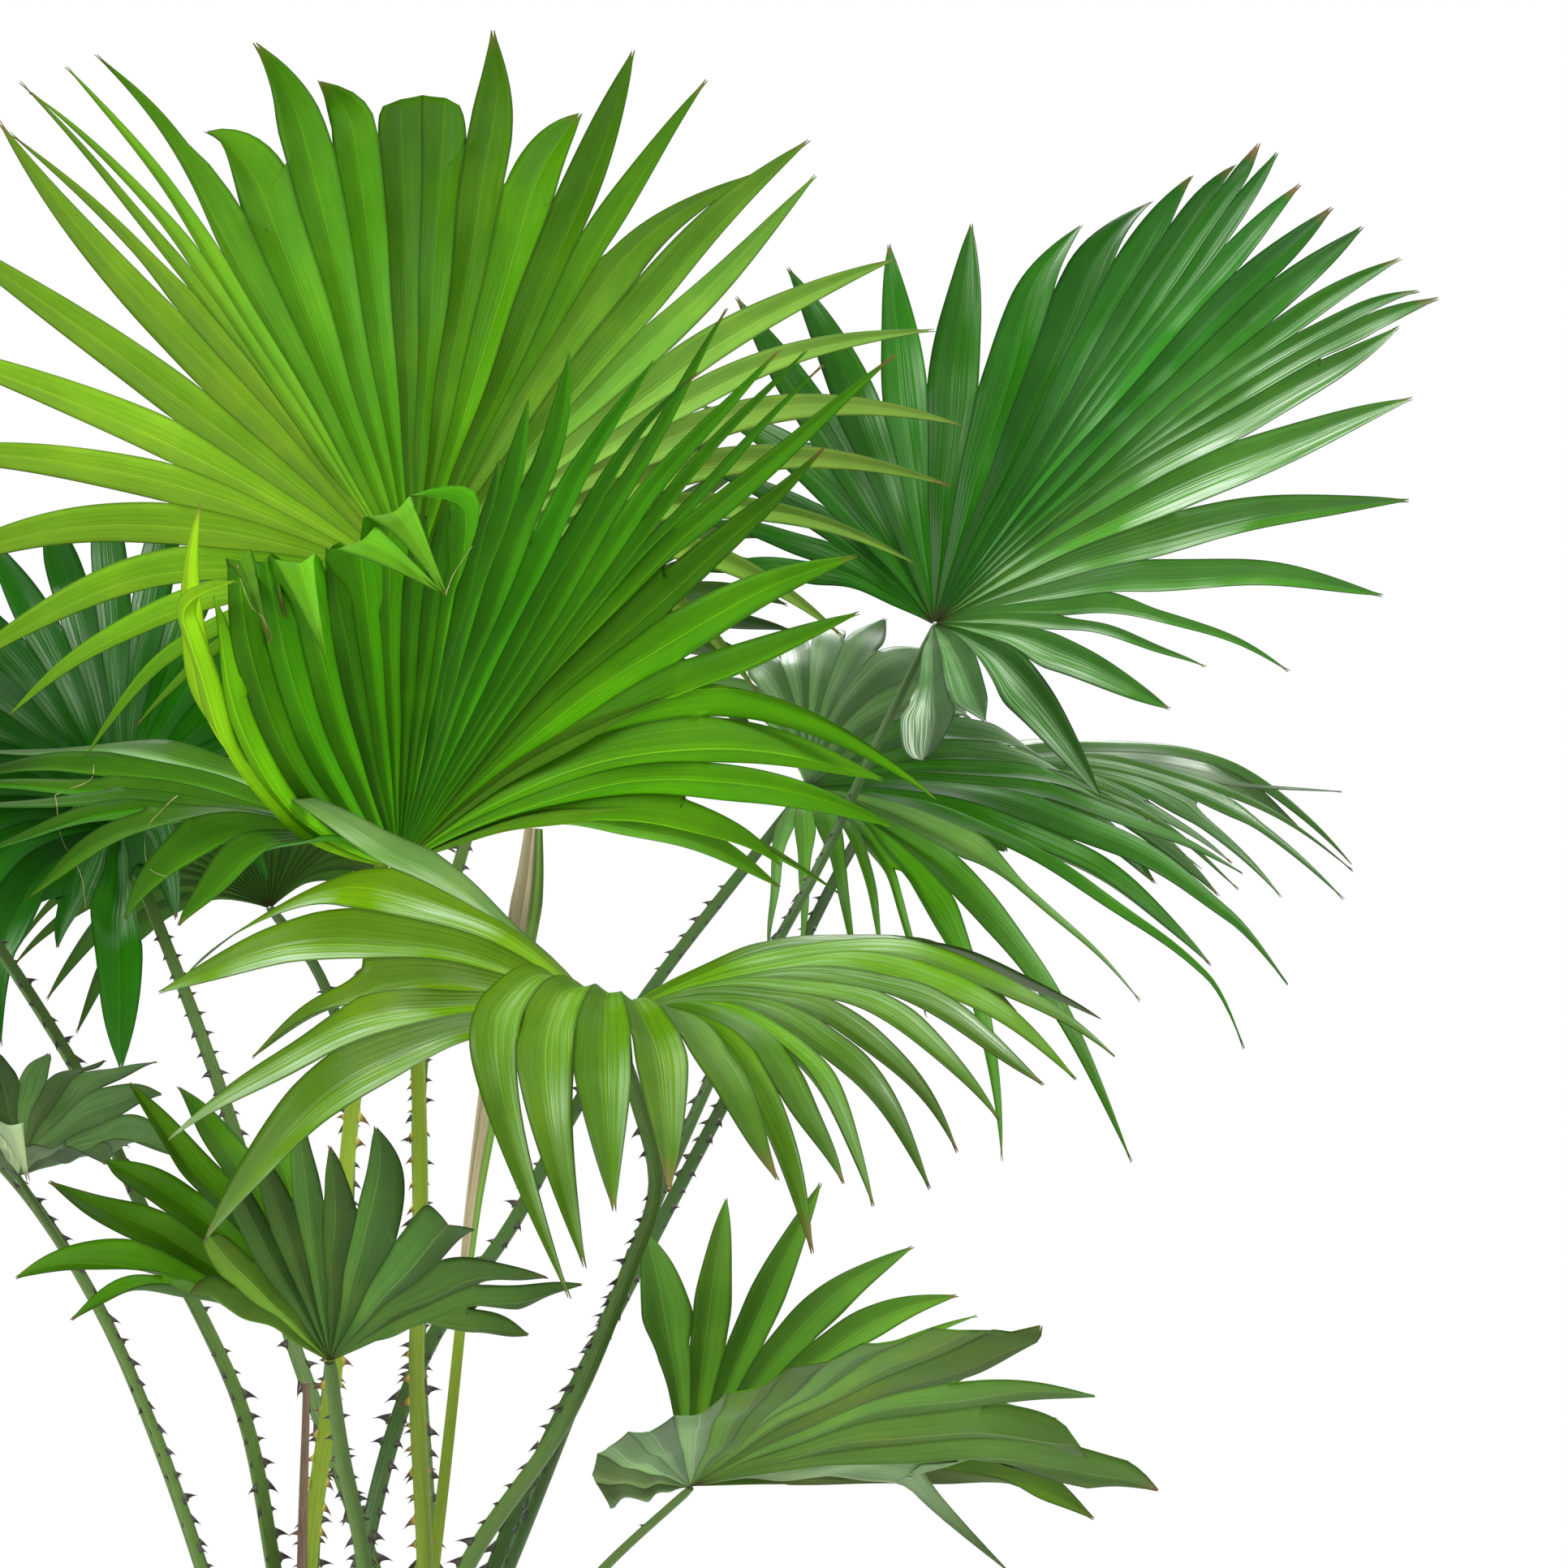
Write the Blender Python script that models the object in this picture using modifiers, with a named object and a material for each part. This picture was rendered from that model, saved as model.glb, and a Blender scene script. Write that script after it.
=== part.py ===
"""Potted livistona palm: a plain round pot of soil, one low fibrous stem, fourteen open fan
fronds on long leaf stalks, one frond that is still folded and one dead stub.

Metres, +Z up. The origin is the centre of the pot's flat underside. -Y is the side that the
photograph shows and +X is its right. Everything stands on z = 0.
"""
import math

import bmesh
import bpy
import numpy as np
from mathutils import Vector

# Driving dimensions, metres
GAP = 0.0003                # clearance between pieces that touch
POT_HEIGHT = 0.300
POT_RIM_RADIUS = 0.172
POT_LIP_RADIUS = 0.164      # outer wall just under the rim band
POT_LIP_DROP = 0.032        # height of the rim band
POT_FOOT_RADIUS = 0.128
POT_WALL = 0.006
POT_FLOOR = 0.008
SOIL_EDGE_HEIGHT = 0.278
SOIL_CROWN_HEIGHT = 0.290   # flat middle that the stem grows from
SOIL_CROWN_RADIUS = 0.095
STEM_HEIGHT = 0.055
STEM_FOOT_RADIUS = 0.082
STEM_WAIST_RADIUS = 0.074
STEM_TOP_RADIUS = 0.070
ROUND_STEPS = 40            # facets round the pot, the soil and the stem

BLADE_THICKNESS = 0.0058    # a little over a hundredth of the longest blade's radius
RIB_STEP = 11.5             # degrees between the ribs of an open frond
HUB_RING = 0.016            # flat disc where the ribs meet the stalk
HUB_APPROACH = 0.022        # last stretch of a stalk, square to that disc
WEB_ROW = 0.30              # part of a rib's length where the pleats begin
PLEAT = 0.12                # height of a pleat over the distance between two ribs
LEAFLET_ROW = 0.50          # place of a leaflet's last width, from the split to the tip
LEAFLET_WIDTH = 0.95        # that width over the width at the split
STALK_SAMPLES = 11
STALK_START = 0.020         # first stretch of a stalk, upright on the stem

STEM_TOP = SOIL_CROWN_HEIGHT + GAP + STEM_HEIGHT
UP = np.array((0.0, 0.0, 1.0))

# Each frond has the place of its hub, the points that its stalk passes, the stalk's radius at
# the foot and at the hub, and the part of the blade that stays joined. A key rib is the step
# from the hub to a leaflet's tip, and how high the rib bows above that line. The ribs between
# two key ribs are worked out. A frond with two runs of key ribs is folded between them.
FRONDS = {
    "top": dict(
        hub=(0.04, 0.10, 1.505), foot=(-0.032, 0.006), radii=(0.0085, 0.0055), split=0.72,
        stalk=[(-0.045, 0.03, 0.65), (-0.025, 0.05, 0.815), (-0.015, 0.07, 1.0),
               (0.0, 0.08, 1.14), (0.015, 0.09, 1.27)],
        runs=[[(-0.23, -0.12, -0.13, 0.03), (-0.34, -0.10, -0.12, 0.05), (-0.46, -0.05, -0.02, 0.05),
               (-0.50, -0.02, 0.16, 0.03), (-0.41, 0.0, 0.33, 0.02), (-0.35, 0.02, 0.44, 0.02),
               (-0.15, 0.10, 0.49, 0.03), (-0.02, 0.12, 0.50, 0.03), (0.19, 0.10, 0.49, 0.03),
               (0.35, 0.05, 0.40, 0.02), (0.42, 0.02, 0.29, 0.02), (0.49, 0.0, 0.14, 0.03),
               (0.46, 0.04, 0.05, 0.04), (0.36, 0.06, -0.06, 0.04)]]),
    "centre": dict(
        hub=(0.045, -0.12, 1.26), foot=(0.056, 0.008), radii=(0.008, 0.006), split=0.62,
        stalk=[(0.06, -0.02, 0.655), (0.055, -0.05, 0.84), (0.06, -0.07, 0.95),
               (0.06, -0.09, 1.065), (0.055, -0.11, 1.185)],
        runs=[[(-0.21, 0.34, 0.04, 0.05), (-0.38, 0.26, 0.09, 0.04), (-0.40, 0.12, 0.05, 0.04),
               (-0.30, -0.04, -0.01, 0.05), (-0.16, -0.18, -0.04, 0.04)],
              [(-0.16, -0.13, 0.28, -0.02), (-0.05, -0.21, 0.28, 0.0), (0.04, -0.24, 0.30, 0.0),
               (0.16, -0.18, 0.42, 0.0), (0.28, -0.08, 0.46, 0.0), (0.42, 0.02, 0.43, 0.02),
               (0.39, 0.12, 0.27, 0.03), (0.41, 0.18, 0.04, 0.05), (0.37, 0.22, -0.01, 0.06),
               (0.25, 0.26, -0.01, 0.05)]]),
    "front": dict(
        hub=(0.23, -0.34, 1.14), foot=(0.026, -0.040), radii=(0.010, 0.006), split=0.50,
        stalk=[(0.10, -0.12, 0.67), (0.19, -0.18, 0.81), (0.24, -0.23, 0.93),
               (0.265, -0.27, 1.005), (0.25, -0.31, 1.08)],
        runs=[[(-0.28, 0.14, 0.18, 0.02), (-0.35, 0.08, 0.05, 0.06), (-0.35, 0.0, 0.01, 0.06),
               (-0.33, -0.12, -0.08, 0.06), (-0.30, -0.18, -0.15, 0.06)],
              [(-0.03, -0.28, -0.19, 0.09), (0.01, -0.32, -0.13, 0.08), (0.05, -0.32, -0.10, 0.08),
               (0.16, -0.26, -0.15, 0.08), (0.20, -0.20, -0.13, 0.08), (0.27, -0.14, -0.08, 0.07),
               (0.34, -0.06, -0.04, 0.07), (0.41, 0.04, -0.01, 0.07), (0.39, 0.14, 0.02, 0.06)]]),
    "right_high": dict(
        hub=(0.505, 0.25, 1.475), foot=(0.002, -0.014), radii=(0.010, 0.006), split=0.50,
        stalk=[(0.13, -0.05, 0.66), (0.25, 0.03, 0.955), (0.35, 0.12, 1.17),
               (0.405, 0.17, 1.27), (0.45, 0.21, 1.365), (0.475, 0.23, 1.415)],
        runs=[[(-0.23, 0.11, 0.06, 0.02), (-0.21, 0.19, 0.17, 0.02), (-0.18, 0.23, 0.33, 0.02),
               (-0.04, 0.21, 0.37, 0.02), (0.13, 0.13, 0.39, 0.02), (0.24, 0.05, 0.42, 0.02),
               (0.33, -0.03, 0.40, 0.03), (0.41, -0.09, 0.33, 0.03), (0.44, -0.11, 0.30, 0.03),
               (0.42, -0.15, 0.10, 0.03), (0.38, -0.21, 0.02, 0.03), (0.30, -0.27, -0.05, 0.03),
               (0.19, -0.27, -0.08, 0.03), (0.14, -0.19, -0.15, 0.03), (-0.01, -0.19, -0.14, 0.03)]]),
    "right_mid": dict(
        hub=(0.39, 0.42, 1.325), foot=(-0.010, 0.012), radii=(0.009, 0.0055), split=0.50,
        stalk=[(0.0, 0.04, 0.645), (0.055, 0.12, 0.835), (0.125, 0.18, 0.935),
               (0.165, 0.22, 1.01), (0.235, 0.30, 1.125), (0.335, 0.38, 1.255)],
        runs=[[(-0.02, -0.14, -0.14, 0.04), (0.04, -0.16, -0.16, 0.05), (0.17, -0.24, -0.34, 0.08),
               (0.30, -0.22, -0.31, 0.10), (0.40, -0.16, -0.24, 0.10), (0.45, -0.06, -0.18, 0.10),
               (0.36, 0.08, -0.06, 0.08), (0.22, 0.14, 0.07, 0.05), (0.12, 0.16, 0.15, 0.03),
               (0.0, 0.17, 0.16, 0.03), (-0.11, 0.12, 0.09, 0.03)]]),
    "right_back": dict(
        hub=(0.465, 0.70, 1.315), foot=(0.036, 0.044), radii=(0.009, 0.0055), split=0.50,
        stalk=[(0.11, 0.16, 0.63), (0.235, 0.34, 0.885), (0.335, 0.49, 1.07),
               (0.38, 0.57, 1.16), (0.43, 0.65, 1.255)],
        runs=[[(0.06, -0.08, -0.13, 0.04), (0.24, -0.06, -0.20, 0.09), (0.34, -0.06, -0.09, 0.10),
               (0.46, -0.02, -0.08, 0.09), (0.48, 0.04, -0.05, 0.09), (0.40, 0.22, 0.07, 0.06),
               (0.15, 0.34, 0.16, 0.04), (-0.03, 0.28, 0.11, 0.04)]]),
    "right_low": dict(
        hub=(0.29, -0.15, 0.745), foot=(0.048, -0.020), radii=(0.008, 0.0055), split=0.62,
        stalk=[(0.085, -0.05, 0.49), (0.15, -0.08, 0.59), (0.215, -0.11, 0.67)],
        runs=[[(-0.04, 0.13, 0.21, 0.01), (0.03, 0.15, 0.24, 0.01), (0.11, 0.17, 0.23, 0.01),
               (0.19, 0.17, 0.18, 0.02), (0.26, 0.17, 0.09, 0.02), (0.38, 0.13, 0.0, 0.02),
               (0.39, 0.03, -0.02, 0.03), (0.33, -0.17, 0.10, 0.02), (0.28, -0.23, 0.16, 0.02),
               (0.13, -0.31, 0.13, 0.02), (0.01, -0.27, 0.09, 0.01), (-0.07, -0.17, 0.05, 0.01)]]),
    "left_mid": dict(
        hub=(-0.26, 0.42, 1.285), foot=(0.034, 0.018), radii=(0.008, 0.0055), split=0.55,
        stalk=[(0.005, 0.10, 0.635), (-0.035, 0.15, 0.73), (-0.075, 0.19, 0.825),
               (-0.135, 0.28, 1.0), (-0.185, 0.34, 1.12), (-0.22, 0.38, 1.195)],
        runs=[[(0.13, -0.04, -0.08, 0.04), (0.18, 0.08, 0.10, 0.03), (0.12, 0.14, 0.26, 0.03),
               (-0.04, 0.14, 0.31, 0.02), (-0.18, 0.10, 0.25, 0.02), (-0.25, 0.04, 0.13, 0.04),
               (-0.22, -0.08, -0.03, 0.06), (-0.14, -0.12, -0.18, 0.06), (-0.02, -0.14, -0.20, 0.04)]]),
    "front_low": dict(
        hub=(-0.005, -0.20, 0.855), foot=(-0.002, -0.042), radii=(0.009, 0.0055), split=0.58,
        stalk=[(0.015, -0.10, 0.67), (0.0, -0.15, 0.775)],
        runs=[[(0.165, -0.02, 0.02, 0.01), (0.21, -0.12, 0.08, 0.01), (0.11, -0.22, 0.13, 0.0),
               (0.05, -0.16, 0.21, 0.0), (-0.01, -0.14, 0.23, 0.0), (-0.06, -0.14, 0.19, 0.0),
               (-0.12, -0.14, 0.10, 0.0), (-0.23, -0.02, 0.03, 0.02), (-0.26, 0.04, 0.06, 0.02),
               (-0.25, 0.08, 0.14, 0.02), (-0.19, 0.11, 0.22, 0.01), (-0.07, 0.22, 0.18, 0.01)]]),
    "left_low": dict(
        hub=(-0.295, 0.02, 0.99), foot=(-0.046, -0.026), radii=(0.0075, 0.005), split=0.58,
        stalk=[(-0.13, -0.025, 0.66), (-0.165, -0.015, 0.76), (-0.22, 0.0, 0.875)],
        runs=[[(-0.10, -0.12, 0.01, 0.02), (-0.01, -0.14, 0.06, 0.0), (0.08, -0.13, 0.05, 0.0),
               (0.15, -0.07, 0.03, 0.0), (0.14, 0.0, 0.07, 0.02), (0.12, 0.05, 0.11, 0.02),
               (0.02, 0.08, 0.12, 0.01), (-0.09, 0.08, 0.10, 0.01), (-0.165, 0.02, 0.055, 0.02)]]),
    "left_high": dict(
        hub=(-0.50, 0.20, 1.415), foot=(-0.046, 0.030), radii=(0.008, 0.0055), split=0.50,
        stalk=[(-0.08, 0.07, 0.645), (-0.115, 0.11, 0.785), (-0.15, 0.13, 0.855),
               (-0.20, 0.15, 0.94), (-0.26, 0.17, 1.06), (-0.32, 0.18, 1.155), (-0.42, 0.20, 1.29)],
        runs=[[(0.06, -0.22, -0.21, 0.04), (0.10, -0.36, -0.08, 0.03), (0.08, -0.38, 0.06, 0.02),
               (-0.02, -0.24, 0.19, 0.02), (-0.16, -0.06, 0.27, 0.02), (-0.27, 0.14, 0.22, 0.02),
               (-0.25, 0.32, 0.14, 0.02), (-0.14, 0.40, 0.05, 0.03), (-0.08, 0.36, -0.04, 0.04),
               (-0.05, 0.26, -0.13, 0.05)]]),
    "left_side": dict(
        hub=(-0.50, 0.20, 1.14), foot=(-0.058, 0.002), radii=(0.008, 0.0055), split=0.50,
        stalk=[(-0.14, 0.05, 0.645), (-0.18, 0.08, 0.745), (-0.235, 0.11, 0.86),
               (-0.30, 0.14, 0.955), (-0.41, 0.18, 1.06)],
        runs=[[(0.05, -0.12, -0.14, 0.05), (0.0, -0.24, -0.19, 0.08), (-0.11, -0.30, -0.14, 0.09),
               (-0.22, -0.24, -0.06, 0.09), (-0.31, -0.10, 0.0, 0.08), (-0.34, 0.06, 0.03, 0.08),
               (-0.27, 0.24, 0.05, 0.07), (-0.14, 0.32, 0.04, 0.06), (-0.03, 0.26, 0.0, 0.06)]]),
    "back_high": dict(
        hub=(0.105, 0.60, 1.42), foot=(0.010, 0.032), radii=(0.008, 0.0055), split=0.60,
        stalk=[(0.05, 0.14, 0.63), (0.035, 0.24, 0.805), (0.03, 0.32, 0.925),
               (0.025, 0.38, 1.035), (0.035, 0.46, 1.165), (0.07, 0.54, 1.31)],
        runs=[[(-0.18, 0.14, -0.10, 0.05), (-0.27, 0.12, 0.0, 0.04), (-0.26, 0.10, 0.17, 0.02),
               (-0.17, 0.09, 0.30, 0.005), (-0.03, 0.09, 0.37, 0.0), (0.11, 0.10, 0.35, 0.005),
               (0.23, 0.12, 0.24, 0.02), (0.28, 0.16, 0.10, 0.04), (0.24, 0.22, -0.03, 0.05),
               (0.15, 0.24, -0.12, 0.06)]]),
    "back_left": dict(
        hub=(-0.145, 0.66, 1.205), foot=(-0.018, 0.042), radii=(0.0075, 0.005), split=0.55,
        stalk=[(-0.055, 0.16, 0.625), (-0.05, 0.28, 0.78), (-0.045, 0.42, 0.955),
               (-0.055, 0.50, 1.065), (-0.09, 0.58, 1.145)],
        runs=[[(0.12, 0.16, -0.04, 0.05), (0.17, 0.22, 0.07, 0.04), (0.10, 0.24, 0.20, 0.02),
               (-0.04, 0.24, 0.27, 0.01), (-0.17, 0.26, 0.23, 0.02), (-0.27, 0.28, 0.13, 0.04),
               (-0.30, 0.29, 0.02, 0.05), (-0.29, 0.27, -0.06, 0.06), (-0.23, 0.24, -0.13, 0.06)]]),
}

# The frond that is still folded stands on a thin stalk of its own
SPEAR_FOOT = (0.026, -0.010)
SPEAR_STALK = [(0.065, 0.03, 0.66), (0.085, 0.05, 0.85), (0.09, 0.055, 0.905)]
SPEAR_BLADE = [(0.09, 0.055, 0.905), (0.095, 0.056, 0.95), (0.105, 0.060, 1.02), (0.118, 0.065, 1.10),
               (0.135, 0.070, 1.185), (0.145, 0.075, 1.25), (0.148, 0.077, 1.29)]
SPEAR_STALK_RADII = (0.006, 0.0045)
SPEAR_WIDTHS = [0.005, 0.007, 0.009, 0.010, 0.010, 0.009, 0.002]
STUB_FOOT = (-0.022, -0.018)
STUB_POINTS = [(-0.045, -0.02, 0.60), (-0.042, -0.02, 0.815)]
STUB_RADII = (0.007, 0.003)


def start_collection(name):
    """Empty the file and return a new collection for the plant."""
    for old in list(bpy.data.objects):
        bpy.data.objects.remove(old, do_unlink=True)
    made = bpy.data.collections.new(name)
    bpy.context.scene.collection.children.link(made)
    return made


def material(name, colour, roughness):
    """A plain surface with the part's colour and roughness."""
    made = bpy.data.materials.new(name)
    made.use_nodes = True
    shader = made.node_tree.nodes["Principled BSDF"]
    shader.inputs["Base Color"].default_value = (*colour, 1.0)
    shader.inputs["Roughness"].default_value = roughness
    shader.inputs["Metallic"].default_value = 0.0
    made.diffuse_color = (*colour, 1.0)
    return made


def place(name, data, finish):
    """Put a mesh or a curve in the plant's collection under its own name."""
    made = bpy.data.objects.new(name, data)
    data.materials.append(finish)
    PLANT.objects.link(made)
    return made


def unit(vector):
    """The vector or the row of vectors at length one."""
    return vector / np.linalg.norm(vector, axis=-1, keepdims=True)


def through(rows, places, at):
    """Values at the places asked for, on a smooth curve through all the rows."""
    slope = np.gradient(rows, places, axis=0)
    found = []
    for value in at:
        i = int(np.clip(np.searchsorted(places, value) - 1, 0, len(places) - 2))
        step = places[i + 1] - places[i]
        u = (value - places[i]) / step
        found.append((2 * u**3 - 3 * u**2 + 1) * rows[i] + (u**3 - 2 * u**2 + u) * step * slope[i]
                     + (3 * u**2 - 2 * u**3) * rows[i + 1] + (u**3 - u**2) * step * slope[i + 1])
    return np.array(found)


def turned(name, profile, finish):
    """A round piece from the outline of one half, given from the axis round to the axis."""
    mesh = bpy.data.meshes.new(name)
    mesh.from_pydata([(r, 0.0, z) for r, z in profile],
                     [(i, i + 1) for i in range(len(profile) - 1)], [])
    made = place(name, mesh, finish)
    screw = made.modifiers.new("turn", "SCREW")
    screw.angle = math.tau
    screw.steps = ROUND_STEPS
    screw.render_steps = ROUND_STEPS
    screw.use_merge_vertices = True
    screw.merge_threshold = 0.00005
    screw.use_smooth_shade = True
    return made


def limb(name, points, radii, finish):
    """One tapering limb: a smooth run of points with a radius at each."""
    curve = bpy.data.curves.new(name, "CURVE")
    curve.dimensions = "3D"
    curve.bevel_depth = 1.0
    curve.bevel_resolution = 2
    curve.use_fill_caps = True
    spline = curve.splines.new("POLY")
    spline.points.add(len(points) - 1)
    for point, where, radius in zip(spline.points, points, radii):
        point.co = (*where, 1.0)
        point.radius = radius
    return place(name, curve, finish)


def along(points, samples):
    """Points spread evenly along a smooth curve, ends kept."""
    points = np.array(points, float)
    run = np.concatenate([[0.0], np.cumsum(np.linalg.norm(np.diff(points, axis=0), axis=1))])
    return through(points, run, np.linspace(0.0, run[-1], samples))


def ribs_of(run, step):
    """Every rib of one run of key ribs, at even angles: its chord, its bow and its lift."""
    keys = np.array(run, float)
    heading = unit(keys[:, :3])
    turn = np.degrees(np.arccos(np.clip((heading[1:] * heading[:-1]).sum(1), -1.0, 1.0)))
    places = np.concatenate([[0.0], np.cumsum(turn)])
    count = max(2, round(places[-1] / step) + 1)
    rows = through(keys, places, np.linspace(0.0, places[-1], count))
    heading = unit(rows[:, :3])
    lift = unit(UP - (heading @ UP)[:, None] * heading)
    return rows[:, :3], rows[:, 3:], lift


def frond_ribs(frond, step):
    """All ribs of a frond in order round the hub, and the last rib before each fold."""
    parts = [ribs_of(run, step) for run in frond["runs"]]
    folds = np.cumsum([len(part[0]) for part in parts])[:-1] - 1
    return [np.concatenate(rows) for rows in zip(*parts)], set(folds.tolist())


def hub_side(frond, tangents):
    """The direction square to the hub's disc, pointing away from the stalk."""
    side = unit(np.cross(tangents[:-1], tangents[1:]).sum(axis=0))
    climb = np.array(frond["hub"]) - np.array(frond["stalk"][-1])
    return side if side @ climb > 0 else -side


def blade(name, frond, finish):
    """One open frond: a pleated fan that is whole near the hub and cut into leaflets beyond.

    Returns the direction square to the hub's disc, which the stalk comes in along.
    """
    hub = np.array(frond["hub"])
    (chord, bow, lift), folds = frond_ribs(frond, RIB_STEP)
    count = len(chord)
    tangent = unit(chord + 4 * bow * lift)
    side = hub_side(frond, tangent)
    split = frond["split"]
    last = split + (1 - split) * LEAFLET_ROW

    def rib_row(t):
        return hub + t * chord + 4 * t * (1 - t) * bow * lift

    rows = {t: rib_row(t) for t in (WEB_ROW, split, last, 1.0)}
    mesh = bmesh.new()

    def vertex(where):
        return mesh.verts.new(tuple(where))

    centre = vertex(hub)
    flat = unit(tangent - (tangent @ side)[:, None] * side)
    ring = [vertex(hub + HUB_RING * way) for way in flat]
    rib = {t: [vertex(p) for p in rows[t]] for t in rows}

    def across(t, i, j):
        """Half the way from rib i to rib j on a row, and the height of the pleat there."""
        half = 0.5 * (rows[t][j] - rows[t][i])
        rise = unit(np.cross(half, tangent[i]))
        rise = rise if rise @ side > 0 else -rise
        return half, PLEAT * 2 * np.linalg.norm(half) * rise

    def face(*corners):
        """A face whose front is on the side away from the stalk."""
        made = mesh.faces.new(corners)
        made.normal_update()

    # The web between two ribs, and the ridge that two leaflets share at the split
    ridge = {}
    for i in range(count - 1):
        face(centre, ring[i], ring[i + 1])
        if i in folds:
            face(ring[i], rib[WEB_ROW][i], rib[WEB_ROW][i + 1], ring[i + 1])
            continue
        for t in (WEB_ROW, split):
            half, pleat = across(t, i, i + 1)
            ridge[t, i] = vertex(rows[t][i] + half + pleat)
        face(ring[i], rib[WEB_ROW][i], ridge[WEB_ROW, i])
        face(ring[i], ridge[WEB_ROW, i], ring[i + 1])
        face(ring[i + 1], ridge[WEB_ROW, i], rib[WEB_ROW][i + 1])
        face(rib[WEB_ROW][i], rib[split][i], ridge[split, i], ridge[WEB_ROW, i])
        face(ridge[WEB_ROW, i], ridge[split, i], rib[split][i + 1], rib[WEB_ROW][i + 1])

    # The free end of each leaflet, and the outer half of one beside a fold or an end
    for i in range(count):
        for way in (-1, 1):
            j = i + way
            shared = 0 <= j < count and min(i, j) not in folds
            if shared:
                shoulder = ridge[split, min(i, j)]
                half, pleat = across(split, i, j)
            else:
                half, pleat = across(split, i, i - way)
                half = -half
                shoulder = vertex(rows[split][i] + half + pleat)
                corners = (rib[WEB_ROW][i], rib[split][i], shoulder)
                face(*(corners if way > 0 else corners[::-1]))
            edge = vertex(rows[last][i] + LEAFLET_WIDTH * (half + pleat))
            corners = (rib[split][i], rib[last][i], edge, shoulder)
            face(*(corners if way > 0 else corners[::-1]))
            corners = (rib[last][i], rib[1.0][i], edge)
            face(*(corners if way > 0 else corners[::-1]))

    bmesh.ops.recalc_face_normals(mesh, faces=mesh.faces)
    data = bpy.data.meshes.new(name)
    mesh.to_mesh(data)
    mesh.free()
    made = place(name, data, finish)
    shell = made.modifiers.new("thickness", "SOLIDIFY")
    shell.thickness = BLADE_THICKNESS
    shell.offset = 0.0
    return side


def stalk(name, frond, side, finish):
    """The leaf stalk: upright off the stem, along its points, then square on to the hub."""
    hub = np.array(frond["hub"])
    foot = np.array((*frond["foot"], STEM_TOP + GAP))
    end = hub - side * (BLADE_THICKNESS / 2 + GAP)
    points = [foot, foot + UP * STALK_START, *frond["stalk"], hub - side * HUB_APPROACH]
    points = np.vstack([foot, along(points[1:], STALK_SAMPLES), end])
    thick, thin = frond["radii"]
    limb(name, points, np.linspace(thick, thin, len(points)), finish)


PLANT = start_collection("livistona_palm")

pot_finish = material("pot_grey", (0.33, 0.33, 0.32), 0.75)
soil_finish = material("soil", (0.055, 0.035, 0.022), 0.95)
stem_finish = material("stem_fibre", (0.16, 0.09, 0.045), 0.9)
stalk_finish = material("stalk_green", (0.16, 0.27, 0.07), 0.45)
frond_finish = material("frond_green", (0.09, 0.24, 0.035), 0.4)
dry_finish = material("dry_brown", (0.24, 0.15, 0.08), 0.85)

# Pot: a plain cup with a rim band, turned from its section
wall_rise = POT_HEIGHT - POT_FLOOR
foot_inner = POT_FOOT_RADIUS - POT_WALL
rim_inner = POT_LIP_RADIUS - POT_WALL
turned("pot", [(0.0, POT_FLOOR), (foot_inner, POT_FLOOR), (rim_inner, POT_HEIGHT),
               (POT_RIM_RADIUS, POT_HEIGHT), (POT_RIM_RADIUS - 0.001, POT_HEIGHT - POT_LIP_DROP),
               (POT_LIP_RADIUS, POT_HEIGHT - POT_LIP_DROP), (POT_FOOT_RADIUS, 0.0), (0.0, 0.0)],
       pot_finish)


def inner_radius(height):
    """Radius of the pot's inside at a height."""
    return foot_inner + (rim_inner - foot_inner) * (height - POT_FLOOR) / wall_rise


# Soil: fills the pot to just under its rim, with a low flat crown in the middle
turned("soil", [(0.0, SOIL_CROWN_HEIGHT), (SOIL_CROWN_RADIUS, SOIL_CROWN_HEIGHT),
                (inner_radius(SOIL_EDGE_HEIGHT) - GAP, SOIL_EDGE_HEIGHT),
                (inner_radius(POT_FLOOR + GAP) - GAP, POT_FLOOR + GAP), (0.0, POT_FLOOR + GAP)],
       soil_finish)

# Stem: short, with its flare at the soil, and flat where the stalks leave it
stem_foot = SOIL_CROWN_HEIGHT + GAP
turned("stem", [(0.0, STEM_TOP), (STEM_TOP_RADIUS, STEM_TOP),
                (STEM_WAIST_RADIUS, stem_foot + 0.4 * STEM_HEIGHT),
                (STEM_FOOT_RADIUS, stem_foot), (0.0, stem_foot)], stem_finish)

for frond_name, frond in FRONDS.items():
    out_side = blade("frond_" + frond_name, frond, frond_finish)
    stalk("stalk_" + frond_name, frond, out_side, stalk_finish)

# Folded frond: a thin stalk, then the closed blade a hair above it
spear_foot = np.array((*SPEAR_FOOT, STEM_TOP + GAP))
spear_line = along([spear_foot + UP * STALK_START, *SPEAR_STALK], STALK_SAMPLES - 3)
spear_line = np.vstack([spear_foot, spear_line])
limb("stalk_spear", spear_line, np.linspace(*SPEAR_STALK_RADII, len(spear_line)), stalk_finish)
spear_rise = unit(spear_line[-1] - spear_line[-2])
spear_blade = np.array(SPEAR_BLADE)
spear_blade[0] = spear_line[-1] + GAP * spear_rise
spear_blade[1] = spear_blade[0] + 0.04 * spear_rise
limb("frond_spear", spear_blade, SPEAR_WIDTHS, frond_finish)

# Dead stub: what is left of an old stalk
stub_foot = np.array((*STUB_FOOT, STEM_TOP + GAP))
stub_line = np.vstack([stub_foot, along([stub_foot + UP * STALK_START, *STUB_POINTS], 7)])
limb("stub_dry", stub_line, np.linspace(*STUB_RADII, len(stub_line)), dry_finish)
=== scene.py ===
import math

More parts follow.
